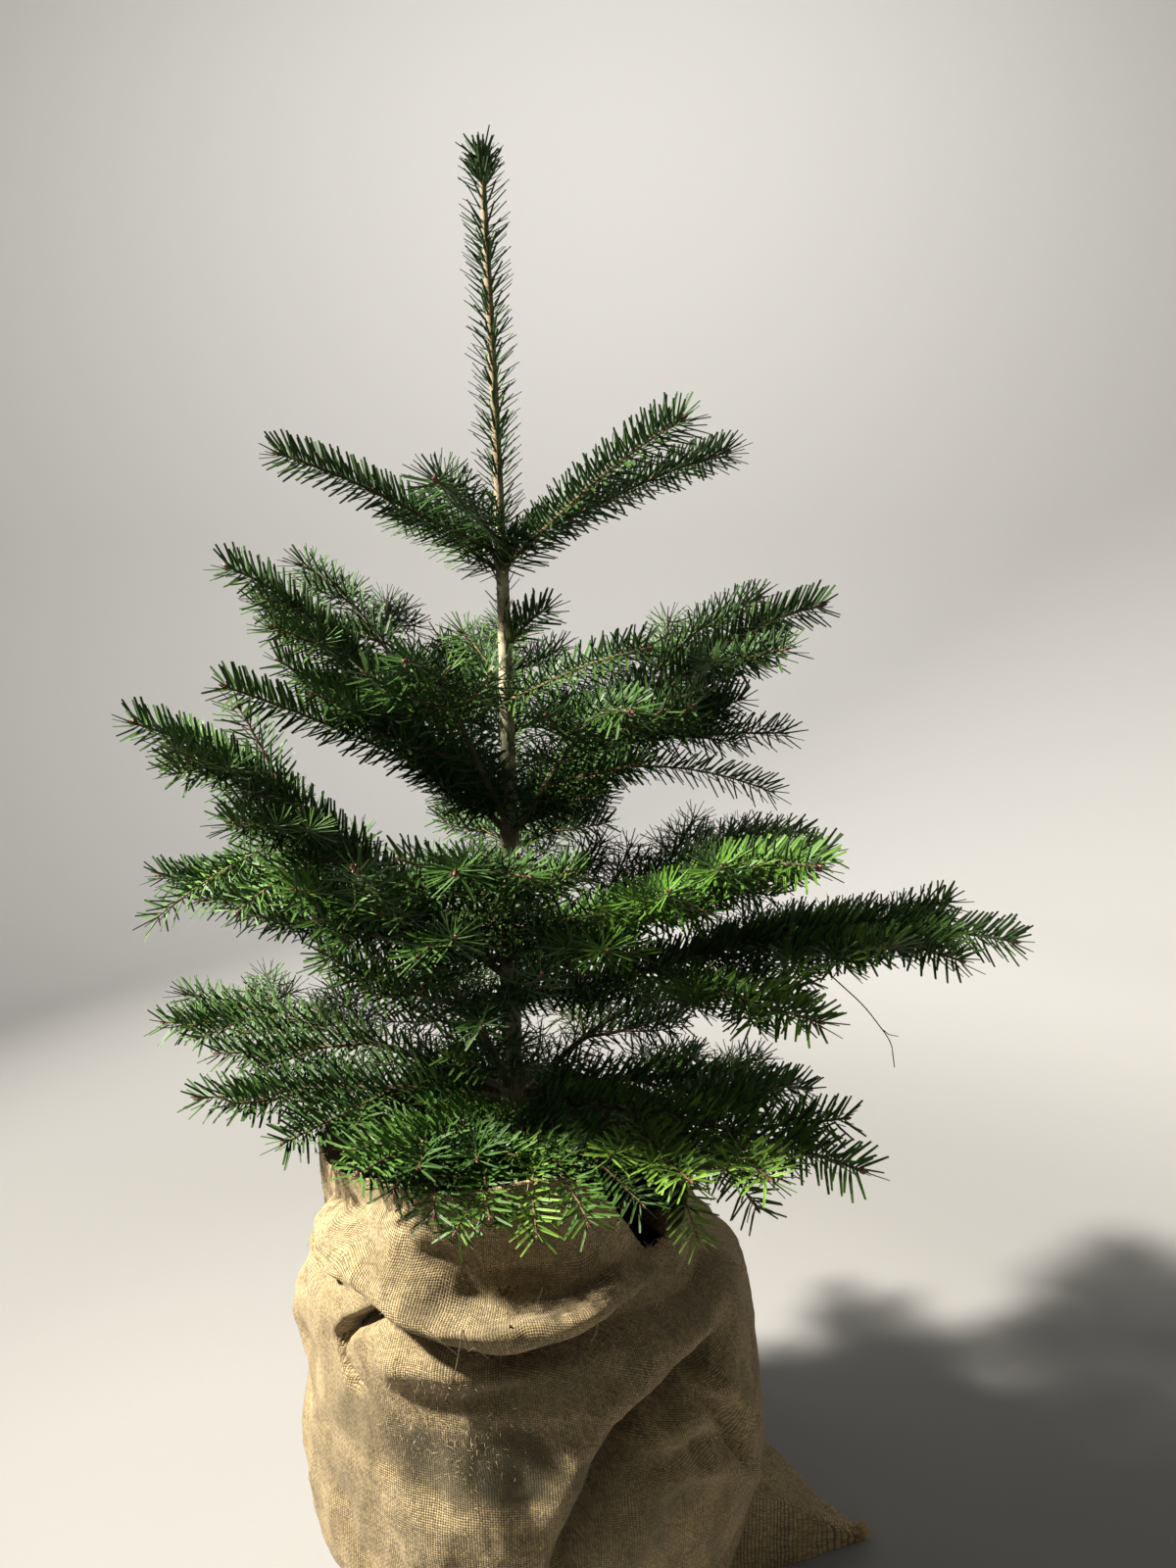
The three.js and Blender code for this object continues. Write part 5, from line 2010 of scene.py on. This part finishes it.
    def section(self) -> Array:
        """Read the section closely and round its corners.

        Returns:
            Rows of radius, height, front radius, front height and shift.
        """
        table = np.array([astuple(row) for row in self.rows], float)
        at = running_length(np.hypot(np.diff(table[:, 0]), np.diff(table[:, 1])))
        runs = np.linspace(at[1] * 0.9, at[-1], 600)
        weights = np.where(np.interp(runs, at, table[:, 1]) > self.close_above, self.close_share, 1.0)
        counted = running_length((weights[1:] + weights[:-1]) / 2)
        rows = np.interp(np.linspace(0, counted[-1], self.samples), counted, runs)
        fine = np.concatenate([np.linspace(0, at[1] * 0.9, 16, endpoint=False), rows])
        dense = np.linspace(0, at[-1], 1400)
        smooth = read_rows(dense, at, table)
        kernel = np.hanning(2 * self.smoothing + 1)
        kernel /= kernel.sum()
        ends = ((self.smoothing, self.smoothing), (0, 0))
        padded = np.pad(smooth, ends, mode="reflect", reflect_type="odd")
        smooth = np.stack([np.convolve(column, kernel, mode="valid") for column in padded.T], axis=-1)
        return read_rows(fine, dense, smooth)

    def surface(self) -> Array:
        """Shape the outer face of the cloth.

        Returns:
            Points as rows from the middle of the bottom up to the rim.
        """
        section = self.section()
        bearing = np.arange(self.columns) / self.columns * 360
        turn = np.radians(bearing)[None, :]
        front = swelling(bearing, self.front_bearing, self.front_width)[None, :]
        radius, height, front_radius, front_height, shift = (column[:, None] for column in section.T)
        tall = height + (front_height - height) * front
        size = radius + (front_radius - radius) * front
        loose = np.minimum(1, np.maximum(0, tall) / self.dip_start)
        folds = np.sin(3 * turn + 1) + 0.7 * np.sin(5 * turn - 2 * loose)
        size = size + self.fold_depth * loose * folds * np.minimum(1, radius / 150)
        crease = np.interp(bearing, *zip(*self.crease_line), period=360)[None, :]
        collar = self.rim_height - self.base_crease
        under = np.clip((tall - self.slump_start) / (self.base_crease - self.slump_start), 0, 1)
        below = tall + (crease - self.base_crease) * under
        above = self.rim_height - (self.rim_height - tall) * (self.rim_height - crease) / collar
        above = np.where(tall > self.rim_height, tall, above)
        tall = np.where(tall < self.base_crease, below, above)
        raised = np.interp(bearing, *zip(*self.raised_rim))[None, :]
        tall = tall + raised * self.rim_share(tall, self.rise_start)
        waves = sum(np.sin(times * turn + phase) * share for times, phase, share in self.ripples)
        tall = tall + self.rim_wave * waves * self.rim_share(tall, self.wave_start)
        dip = self.mouth_dip * swelling(bearing, self.dip_bearing, self.dip_width)[None, :]
        tall = tall - dip * np.maximum(0, (tall - self.dip_start) / (self.rim_height - self.dip_start))
        wide = np.broadcast_to(bearing[None, :], tall.shape)
        push = sum(fold.push(wide, tall) for fold in self.folds)
        size = size + (push + self.pocket(wide, tall)) * np.clip(radius / 200, 0, 1)
        size = size + self.wrinkles(wide, tall) * np.clip((tall - 4) / 40, 0, 1)
        for corner in self.corners:
            size = np.where(radius > 20, corner.push(wide, np.maximum(tall, 0), size), size)
        rolled = swelling(bearing, self.roll_bearing, self.roll_spread)[None, :] ** 0.7
        roll = np.exp(-(((tall - crease - self.roll_rise) / self.roll_width) ** 2)) * rolled
        tall = tall - self.roll_sag * roll
        drop = np.exp(-(((tall - self.lip_height - self.drop_rise) / self.drop_width) ** 2))
        tall = tall - self.pocket_drop * (drop * self.pocket_share(bearing)[None, :])
        tall = np.maximum(tall, np.where(radius < 190, 0, 0.2))
        return np.stack([shift + size * np.cos(turn), size * np.sin(turn), tall], axis=-1)

    def rim_share(self, tall: Array, start: float) -> Array:
        """Return the share of the way from a height to the rim, between 0 and 1."""
        return np.clip((tall - start) / (self.rim_height - start), 0, 1)

    def pocket_share(self, bearing: Array) -> Array:
        """Return how much of the pocket's depth a bearing has, between 0 and 1."""
        return swelling(bearing, self.pocket_bearing, self.pocket_width) ** 0.6

    def pocket(self, bearing: Array, height: Array) -> Array:
        """Work out how far the collar falls in above the lip of the roll.

        Args:
            bearing: Bearings of the cloth's points.
            height: Their heights.

        Returns:
            How far each point moves outward.
        """
        rise = np.clip((height - self.lip_height) / self.lip_rise, 0, 1)
        rise = rise * rise * (3 - 2 * rise)
        fade = np.clip((height - self.lip_height - 38) / 60, 0, 1)
        return -self.pocket_depth * self.pocket_share(bearing) * rise * (1 - 0.45 * fade)

    def wrinkles(self, bearing: Array, height: Array) -> Array:
        """Work out the small wrinkles of slack cloth.

        Args:
            bearing: Bearings of the cloth's points.
            height: Their heights.

        Returns:
            How far each point moves outward.
        """
        noise = SoftNoise(29)
        around = np.radians(bearing)
        spots = np.stack([250 * np.cos(around), 250 * np.sin(around), height], axis=-1).reshape(-1, 3)
        skew = spots + np.stack([spots[:, 2] * 0.35, spots[:, 2] * 0.2, -spots[:, 0] * 0.3], axis=-1)
        broad = noise.at(skew, (95, 95, 120))
        lines = 1 - np.abs(noise.at(skew + 400, (38, 38, 90))) * 2
        small = noise.at(spots + 77, (13, 13, 16))
        layers = zip(self.wrinkle_depths, (broad, lines, small))
        return sum(depth * layer for depth, layer in layers).reshape(bearing.shape)

    def build(self) -> list[Piece]:
        """Make the sack, its frayed edges and its loose fibres.

        Returns:
            The pieces.
        """
        outer = self.surface()
        along = np.roll(outer, -1, axis=1) - np.roll(outer, 1, axis=1)
        down = np.gradient(outer, axis=0)
        normal = unit(np.cross(along, down))
        path = running_length(np.linalg.norm(np.diff(outer, axis=0), axis=2))
        kept = outer[:, :, 2].mean(axis=1) > self.rim_height - self.inside
        first = int(np.argmax(kept))
        inner = (outer - normal * self.thickness)[first:][::-1]
        whole = np.concatenate([outer, inner])
        near = np.arange(-self.map_reach, self.map_reach + 1)
        window = (np.arange(self.columns)[:, None] + near) % self.columns
        path = path[:, window].mean(axis=2)
        lengths = np.concatenate([path, 2 * path[-1] - path[first:][::-1]])
        rows = len(whole)
        faces = grid_faces(rows, self.columns, True)
        column_of = np.tile(np.arange(self.columns), rows - 1)[:, None] + np.array([0, 1, 1, 0])
        around = column_of / self.columns * 2 * np.pi * self.map_radius
        corners = np.stack([around, lengths.ravel()[faces]], axis=-1) * METRES
        cloth = Cloth()
        cloth.add(whole.reshape(-1, 3), faces, 0, corners)
        sack = cloth.piece("jute_sack", [JUTE])
        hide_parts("sack")
        LOG.info("sack: %d triangles", cloth.triangles())
        small = [self.crumbs(outer), self.stalk(), self.dog_ear()]
        return [sack, self.fibres(outer, normal), self.tail(), self.rim_fray(outer), *small]

    def stalk(self) -> Piece:
        """Make the kinked dry stalk that is caught in the crease.

        Returns:
            The stalk.
        """
        cloth = Cloth()
        lines = (
            (((-44, -261, 385), (-35, -268, 416), (-27, -272, 457)), 0.75),
            (((-27, -272, 457), (-23, -275, 436), (-17, -276, 441), (-3, -277, 429)), 0.6),
            (((-66, -263, 455), (-49, -272, 446), (-30, -276, 432)), 0.4),
            (((-44, -261, 385), (-47, -258, 377), (-43, -258, 371)), 1.1),
        )
        for line, thick in lines:
            add_rod(cloth, Polyline(np.array(line, float)), np.linspace(thick, thick * 0.7, 16), 5)
        made = cloth.piece("caught_stalk", [DRY_STALK])
        return made

    def dog_ear(self) -> Piece:
        """Make the corner of the collar that is turned back at the low right end of the mouth.

        Returns:
            The turned corner, with a frayed edge.
        """
        rng = np.random.default_rng(58)
        left = np.array(self.ear_left, float)
        right = np.array(self.ear_right, float)
        count = self.ear_cells
        share = np.linspace(0, 1, count)
        knots = np.linspace(0, 1, len(left))
        first = read_rows(share, knots, left)
        last = read_rows(share, knots, right)
        across = share[None, :, None]
        sheet = first[:, None] * (1 - across) + last[:, None] * across
        arch = np.sin(np.pi * across[..., 0]) * (0.6 + 0.4 * np.sin(np.pi * share))[:, None]
        sheet = sheet + np.array([0.35, -0.9, 0.3]) * arch[..., None] * self.ear_arch
        normal = unit(np.cross(np.gradient(sheet, axis=1), np.gradient(sheet, axis=0)))
        thin = np.where((share < 0.02) | (share > 0.98), 0.15, 1.0)[:, None, None] * self.thickness / 2
        ring = np.concatenate([sheet + normal * thin, (sheet - normal * thin)[:, ::-1]], axis=1)
        faces = grid_faces(count, 2 * count, True)
        row = np.repeat(np.arange(count - 1), 2 * count)[:, None] + np.array([0, 0, 1, 1])
        column = np.tile(np.arange(2 * count), count - 1)[:, None] + np.array([0, 1, 1, 0])
        cloth = Cloth()
        corners = np.stack([column, row], axis=-1) * self.ear_span * METRES
        cloth.add(ring.reshape(-1, 3), faces, 0, corners)
        for _ in range(self.ear_threads):
            along_top = rng.uniform() < 0.6
            spot = int(rng.integers(0, count))
            start = sheet[0, spot] if along_top else sheet[spot, -1]
            toward = unit(rng.normal(0, 0.8, 3) + Z_AXIS * 0.7)
            reach = rng.uniform(3, 10)
            bend = start + toward * reach * 0.6
            end = bend + unit(rng.normal(0, 1, 3)) * reach * 0.4
            add_rod(cloth, ShootPath(start, bend, end), np.array([0.4, 0.35, 0.25]), 4, 1)
        made = cloth.piece("turned_corner", [JUTE, STRAW])
        return made

    def spot(self, outer: Array, bearing: float, height: float) -> Array:
        """Find the cloth's point at a bearing and a height.

        Args:
            outer: The cloth's points.
            bearing: The bearing.
            height: The height.

        Returns:
            The point.
        """
        column = int(bearing / 360 * self.columns)
        row = int(np.argmin(np.abs(outer[self.above_foot :, column, 2] - height))) + self.above_foot
        return outer[row, column]

    def crumbs(self, outer: Array) -> Piece:
        """Make the few crumbs of soil that lie in the collar's hollow.

        Args:
            outer: The cloth's points.

        Returns:
            The crumbs.
        """
        rng = np.random.default_rng(74)
        cloth = Cloth()
        for _ in range(self.crumb_count):
            bearing, height = rng.normal(273.2, 1.1), rng.normal(451, 1.0)
            add_crumb(cloth, self.spot(outer, bearing, height) + Z_AXIS, rng.uniform(1.2, 3.2), rng)
        made = cloth.piece("collar_crumbs", [RED_SOIL], smooth=False)
        return made

    def fibres(self, outer: Array, normal: Array) -> Piece:
        """Make the short fibres that stand off the cloth.

        Args:
            outer: The cloth's points.
            normal: Its outward directions.

        Returns:
            The fibres.
        """
        rng = np.random.default_rng(41)
        even, worn = self.fibre_counts
        count = even + worn
        row = rng.integers(self.above_foot, outer.shape[0] - 1, even)
        column = rng.integers(0, self.columns, even)
        side = (rng.normal(252, 11, worn) / 360 * self.columns).astype(int)
        tall = rng.normal(355, 32, worn)
        nearest = np.argmin(np.abs(outer[self.above_foot :, side, 2] - tall), axis=0) + self.above_foot
        row, column = np.concatenate([row, nearest]), np.concatenate([column, side])
        foot = outer[row, column]
        out = unit(normal[row, column] + rng.normal(0, 0.9, (count, 3)))
        turn = unit(np.cross(out, rng.normal(0, 1, (count, 3))))
        length = rng.gamma(3.0, 1.7, count)[:, None] * np.where(np.arange(count) < even, 1, 1.4)[:, None]
        half = turn * rng.uniform(0.07, 0.13, count)[:, None]
        middle = foot + out * length * 0.5
        tip = foot + out * length * 0.7 + np.cross(out, turn) * length * 0.5
        points = np.stack([foot - half, foot + half, middle + half, middle - half, tip], axis=1)
        base = np.arange(count)[:, None] * 5
        cloth = Cloth()
        cloth.add(points.reshape(-1, 3), base + np.array([0, 1, 2, 3]))
        cloth.add(np.zeros((0, 3)), base + np.array([3, 2, 4]) - count * 5)
        made = cloth.piece("jute_fibres", [STRAW])
        return made

    def tail(self) -> Piece:
        """Make the frayed yellow tails of the sewn corners.

        Returns:
            The tails.
        """
        rng = np.random.default_rng(17)
        cloth = Cloth()
        for corner, count in zip(self.corners, self.tail_threads):
            out = level(math.radians(corner.bearing))
            foot = out * (corner.tip + 12) + X_AXIS * 4 + Z_AXIS * 5
            for _ in range(count):
                start = foot + rng.normal(0, 2.2, 3) - out * 8
                start[2] = max(start[2], 1.2)
                direction = unit(out + rng.normal(0, 0.42, 3) + Z_AXIS * 0.45)
                length = rng.uniform(10, 26)
                middle = start + direction * length * 0.6
                end = middle + unit(direction + rng.normal(0, 0.7, 3)) * length * 0.5
                middle[2], end[2] = max(middle[2], 1.0), max(end[2], 1.0)
                add_rod(cloth, ShootPath(start, middle, end), np.array([0.55, 0.5, 0.45, 0.35, 0.2]), 4)
        made = cloth.piece("frayed_tail", [YELLOW_THREAD])
        return made

    def rim_fray(self, outer: Array) -> Piece:
        """Make the loose threads of the rim and of the pulled places on the front.

        Args:
            outer: The cloth's points.

        Returns:
            The threads.
        """
        rng = np.random.default_rng(23)
        cloth = Cloth()
        rim = outer[-1]
        for _ in range(self.rim_threads):
            column = int(rng.integers(0, self.columns))
            start = rim[column] - Z_AXIS * 1.5
            direction = unit(rng.normal(0, 0.6, 3) + Z_AXIS * 0.8)
            length = rng.uniform(4, 15)
            middle = start + direction * length * 0.6
            end = middle + unit(direction + rng.normal(0, 0.9, 3) - Z_AXIS * 0.5) * length * 0.6
            add_rod(cloth, ShootPath(start, middle, end), np.array([0.5, 0.42, 0.35, 0.2]), 4)
        for bearing, height, drop in self.pulled:
            start = self.spot(outer, bearing, height)
            out = unit(start * [1, 1, 0])
            side = np.cross(Z_AXIS, out)
            middle = start + out * 9 - Z_AXIS * drop * 0.3 + side * rng.uniform(-8, 8)
            end = start + out * 5 - Z_AXIS * drop + side * rng.uniform(-10, 10)
            add_rod(cloth, ShootPath(start, middle, end), np.array([0.6, 0.55, 0.5, 0.45, 0.4, 0.3]), 5)
        made = cloth.piece("loose_threads", [STRAW])
        return made


@dataclass
class RootBall:
    """The ball of soil and roots in the sack."""

    shift: float = 14
    top: float = 360
    rows: tuple[Pair, ...] = (
        (0, 12.3), (168, 12.3), (194, 70), (200, 310), (180, 348), (90, 360), (0, 360),
    )
    lumps: tuple[Pair, ...] = ((2.6, 26), (1.6, 9), (0.8, 4))
    inset: float = 3
    crumb_reach: float = 165
    crumb_count: int = 240
    columns: int = 150
    samples: int = 120

    def build(self) -> list[Piece]:
        """Make the ball with its crumbly top, and the crumbs on it.

        Returns:
            The pieces.
        """
        table = np.array(self.rows)
        at = running_length(np.hypot(*np.diff(table, axis=0).T))
        radius, height = read_rows(np.linspace(0, at[-1], self.samples), at, table).T[..., None]
        turn = turns(self.columns)
        spots = ring_points(radius, turn, height)
        noise = SoftNoise(61)
        flat = spots.reshape(-1, 3)
        rough = sum(depth * noise.at(flat, pitch) for depth, pitch in self.lumps).reshape(spots.shape[:2])
        inward = np.clip(radius / 60, 0, 1)
        spots[..., 0] += (rough - self.inset) * np.cos(turn) * inward + self.shift
        spots[..., 1] += (rough - self.inset) * np.sin(turn) * inward
        spots[..., 2] += rough * (height > 330) - 2 * (height > 330)
        cloth = Cloth()
        cloth.add(spots.reshape(-1, 3), grid_faces(self.samples, self.columns, True))
        ball = cloth.piece("soil_ball", [SOIL])
        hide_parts("root_ball")
        return [ball, self.crumbs()]

    def crumbs(self) -> Piece:
        """Make the crumbs on top of the ball.

        Returns:
            The crumbs.
        """
        rng = np.random.default_rng(73)
        cloth = Cloth()
        for _ in range(self.crumb_count):
            turn, share = rng.uniform(0, 2 * np.pi), math.sqrt(rng.uniform(0.02, 1))
            out, drop = self.crumb_reach * share, 3 + 8 * share**4
            place = np.array([self.shift + out * math.cos(turn), out * math.sin(turn), self.top - drop])
            add_crumb(cloth, place, rng.uniform(1.2, 4.2), rng)
        made = cloth.piece("soil_crumbs", [SOIL], smooth=False)
        return made


@dataclass(frozen=True)
class DeadTwig:
    """The thin dead twig that hangs from the long right bough."""

    points: tuple[Triple, ...] = (
        (318, -88, 742), (338, -92, 722), (372, -94, 690), (400, -96, 652), (404, -96, 622),
    )
    side: tuple[Triple, ...] = ((392, -95, 664), (398, -92, 658), (409, -90, 655))

    def build(self) -> Piece:
        """Make the twig and its stub.

        Returns:
            The twig.
        """
        cloth = Cloth()
        for line, thick in ((self.points, 0.9), (self.side, 0.6)):
            path = Polyline(np.array(line, float))
            add_rod(cloth, path, np.linspace(thick, thick * 0.55, 26), 6)
        made = cloth.piece("dead_twig", [YOUNG_BARK])
        return made


# Studio


@dataclass(frozen=True)
class Studio:
    """Floor, soft lights and the camera at the height it was held."""

    eye: Triple = (0.0945, -1.25, 1.10)
    pitch: float = 8.66
    roll: float = -1.05
    focal_pixels: float = 1205
    frame_height: float = 1600
    sensor: float = 36
    wall: float = 4200
    curve: float = 1400
    top: float = 5200
    sides: int = 120
    clearance: float = 0.5

    def camera(self) -> None:
        """Set the camera up."""
        data = bpy.data.cameras.new("camera")
        data.sensor_width = self.sensor
        data.sensor_fit = "AUTO"
        data.lens = self.focal_pixels * self.sensor / self.frame_height
        data.clip_start = 0.05
        held = bpy.data.objects.new("camera", data)
        pitch, roll = math.radians(self.pitch), math.radians(self.roll)
        forward = np.array([0, math.cos(pitch), -math.sin(pitch)])
        upward = np.array([0, math.sin(pitch), math.cos(pitch)])
        right = math.cos(roll) * X_AXIS + math.sin(roll) * upward
        above = -math.sin(roll) * X_AXIS + math.cos(roll) * upward
        turn = np.eye(4)
        turn[:3, 0], turn[:3, 1], turn[:3, 2], turn[:3, 3] = right, above, -forward, self.eye
        held.matrix_world = Matrix(turn.tolist())
        bpy.context.scene.collection.objects.link(held)
        bpy.context.scene.camera = held

    def light(
        self,
        name: str,
        place: Triple,
        size: float,
        watts: float,
        colour: Triple,
        spread: float,
        target: Triple = (0.0, 0.0, 0.75),
    ) -> None:
        """Hang one soft light.

        Args:
            name: Its name.
            place: Where it hangs, in metres.
            size: Its side.
            watts: Its power.
            colour: Its colour.
            spread: How wide its beam is, in degrees.
            target: What it points at, in metres.
        """
        data = bpy.data.lights.new(name, "AREA")
        data.shape = "DISK"
        data.size, data.energy, data.color = size, watts, colour
        data.spread = math.radians(spread)
        lamp = bpy.data.objects.new(name, data)
        toward = unit(np.array(target) - np.array(place))
        side = unit(np.cross(toward, Z_AXIS))
        turn = np.eye(4)
        turn[:3, 0], turn[:3, 1], turn[:3, 2], turn[:3, 3] = side, np.cross(side, toward), -toward, place
        lamp.matrix_world = Matrix(turn.tolist())
        bpy.context.scene.collection.objects.link(lamp)

    def build(self) -> None:
        """Make the floor that sweeps up into the surround, the lights, the sky and the camera."""
        turn = np.linspace(0, np.pi / 2, 12)[1:]
        sweep = self.wall - self.curve
        radii = [np.linspace(0, sweep, 16), sweep + self.curve * np.sin(turn), [self.wall] * 3]
        heights = [np.zeros(16), self.curve * (1 - np.cos(turn)), np.linspace(2600, self.top, 3)]
        floor_heights = np.concatenate(heights)[:, None] - self.clearance
        points = ring_points(np.concatenate(radii)[:, None], turns(self.sides), floor_heights)
        cloth = Cloth()
        cloth.add(points.reshape(-1, 3), grid_faces(len(points), self.sides, True))
        floor = cloth.piece("floor", [FloorFinish().material()], ride=False)
        self.light("key", (-2.62, -0.40, 3.15), 0.28, 128, (1.0, 0.95, 0.86), 75)
        self.light("fill", (0.9, -3.2, 2.0), 1.8, 3.0, (0.95, 0.97, 1.0), 180)
        self.light("wall", (0.3, 0.9, 4.6), 2.4, 78, (1.0, 0.98, 0.95), 110, (0.0, 4.2, 1.3))
        world = bpy.data.worlds.new("surround")
        world.use_nodes = True
        ground = next(node for node in world.node_tree.nodes if node.type == "BACKGROUND")
        ground.inputs["Color"].default_value = (0.88, 0.91, 0.95, 1)
        ground.inputs["Strength"].default_value = 0.09
        bpy.context.scene.world = world
        bpy.context.scene.view_settings.view_transform = "Standard"
        self.camera()


GREENS = [
    NeedleFinish("needle_deep", (0.018, 0.049, 0.008), (0.036, 0.084, 0.012)).material(),
    NeedleFinish("needle_dark", (0.025, 0.063, 0.009), (0.047, 0.106, 0.014)).material(),
    NeedleFinish("needle_middle", (0.035, 0.087, 0.010), (0.060, 0.134, 0.016)).material(),
    NeedleFinish("needle_bright", (0.048, 0.118, 0.010), (0.080, 0.175, 0.018)).material(),
    NeedleFinish("needle_young", (0.085, 0.170, 0.018), (0.145, 0.25, 0.032)).material(),
]
UNDERSIDE = UnderFinish().material()
# The trunk darkens below the middle whorl and at the whorl joints: older bark, partly painted shade under
# the crown.
TRUNK_BARK = BarkFinish(
    "trunk_bark", (0.45, 0.40, 0.265), (0.09, 0.072, 0.048), (0.30, 0.31, 0.185),
    dark_below=0.86, knots=(0.86, 1.0, 1.15), young_above=1.13,
).material()
OLD_BARK = BarkFinish(
    "bough_bark", (0.115, 0.085, 0.05), (0.04, 0.029, 0.019), (0.09, 0.085, 0.045)
).material()
YOUNG_BARK = BarkFinish(
    "young_bark", (0.15, 0.085, 0.035), (0.055, 0.032, 0.016), (0.085, 0.07, 0.028), 2.0, 0.0004
).material()
BUD_SCALES = BudFinish().material()
JUTE = JuteFinish().material()
STRAW = ThreadFinish("straw_thread", (0.56, 0.44, 0.27), (0.30, 0.22, 0.12)).material()
YELLOW_THREAD = ThreadFinish("yellow_thread", (0.60, 0.44, 0.14), (0.38, 0.26, 0.08)).material()
SOIL = SoilFinish().material()
RED_SOIL = SoilFinish("red_soil", (0.055, 0.022, 0.012), (0.15, 0.062, 0.034)).material()
DRY_STALK = ThreadFinish("dry_stalk", (0.14, 0.10, 0.055), (0.07, 0.05, 0.03)).material()


def main() -> None:
    """Build the tree in order, note its size, and report each piece."""
    logging.basicConfig(level=logging.INFO, format="%(name)s: %(message)s")
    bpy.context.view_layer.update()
    trunk = Trunk()
    bark = trunk.build()
    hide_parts("trunk")
    crown = Crown(trunk)
    pieces = [bark, *crown.build(), *Leader(trunk).build()]
    pieces += [*Sack().build(), *RootBall().build(), DeadTwig().build()]
    for piece in pieces:
        LOG.info("%s: %d faces", piece.name, len(piece.data.polygons))
    LOG.info("crown: %d triangles", crown.triangles)
    Studio().build()
    bpy.context.view_layer.update()


if __name__ == "__main__":
    main()
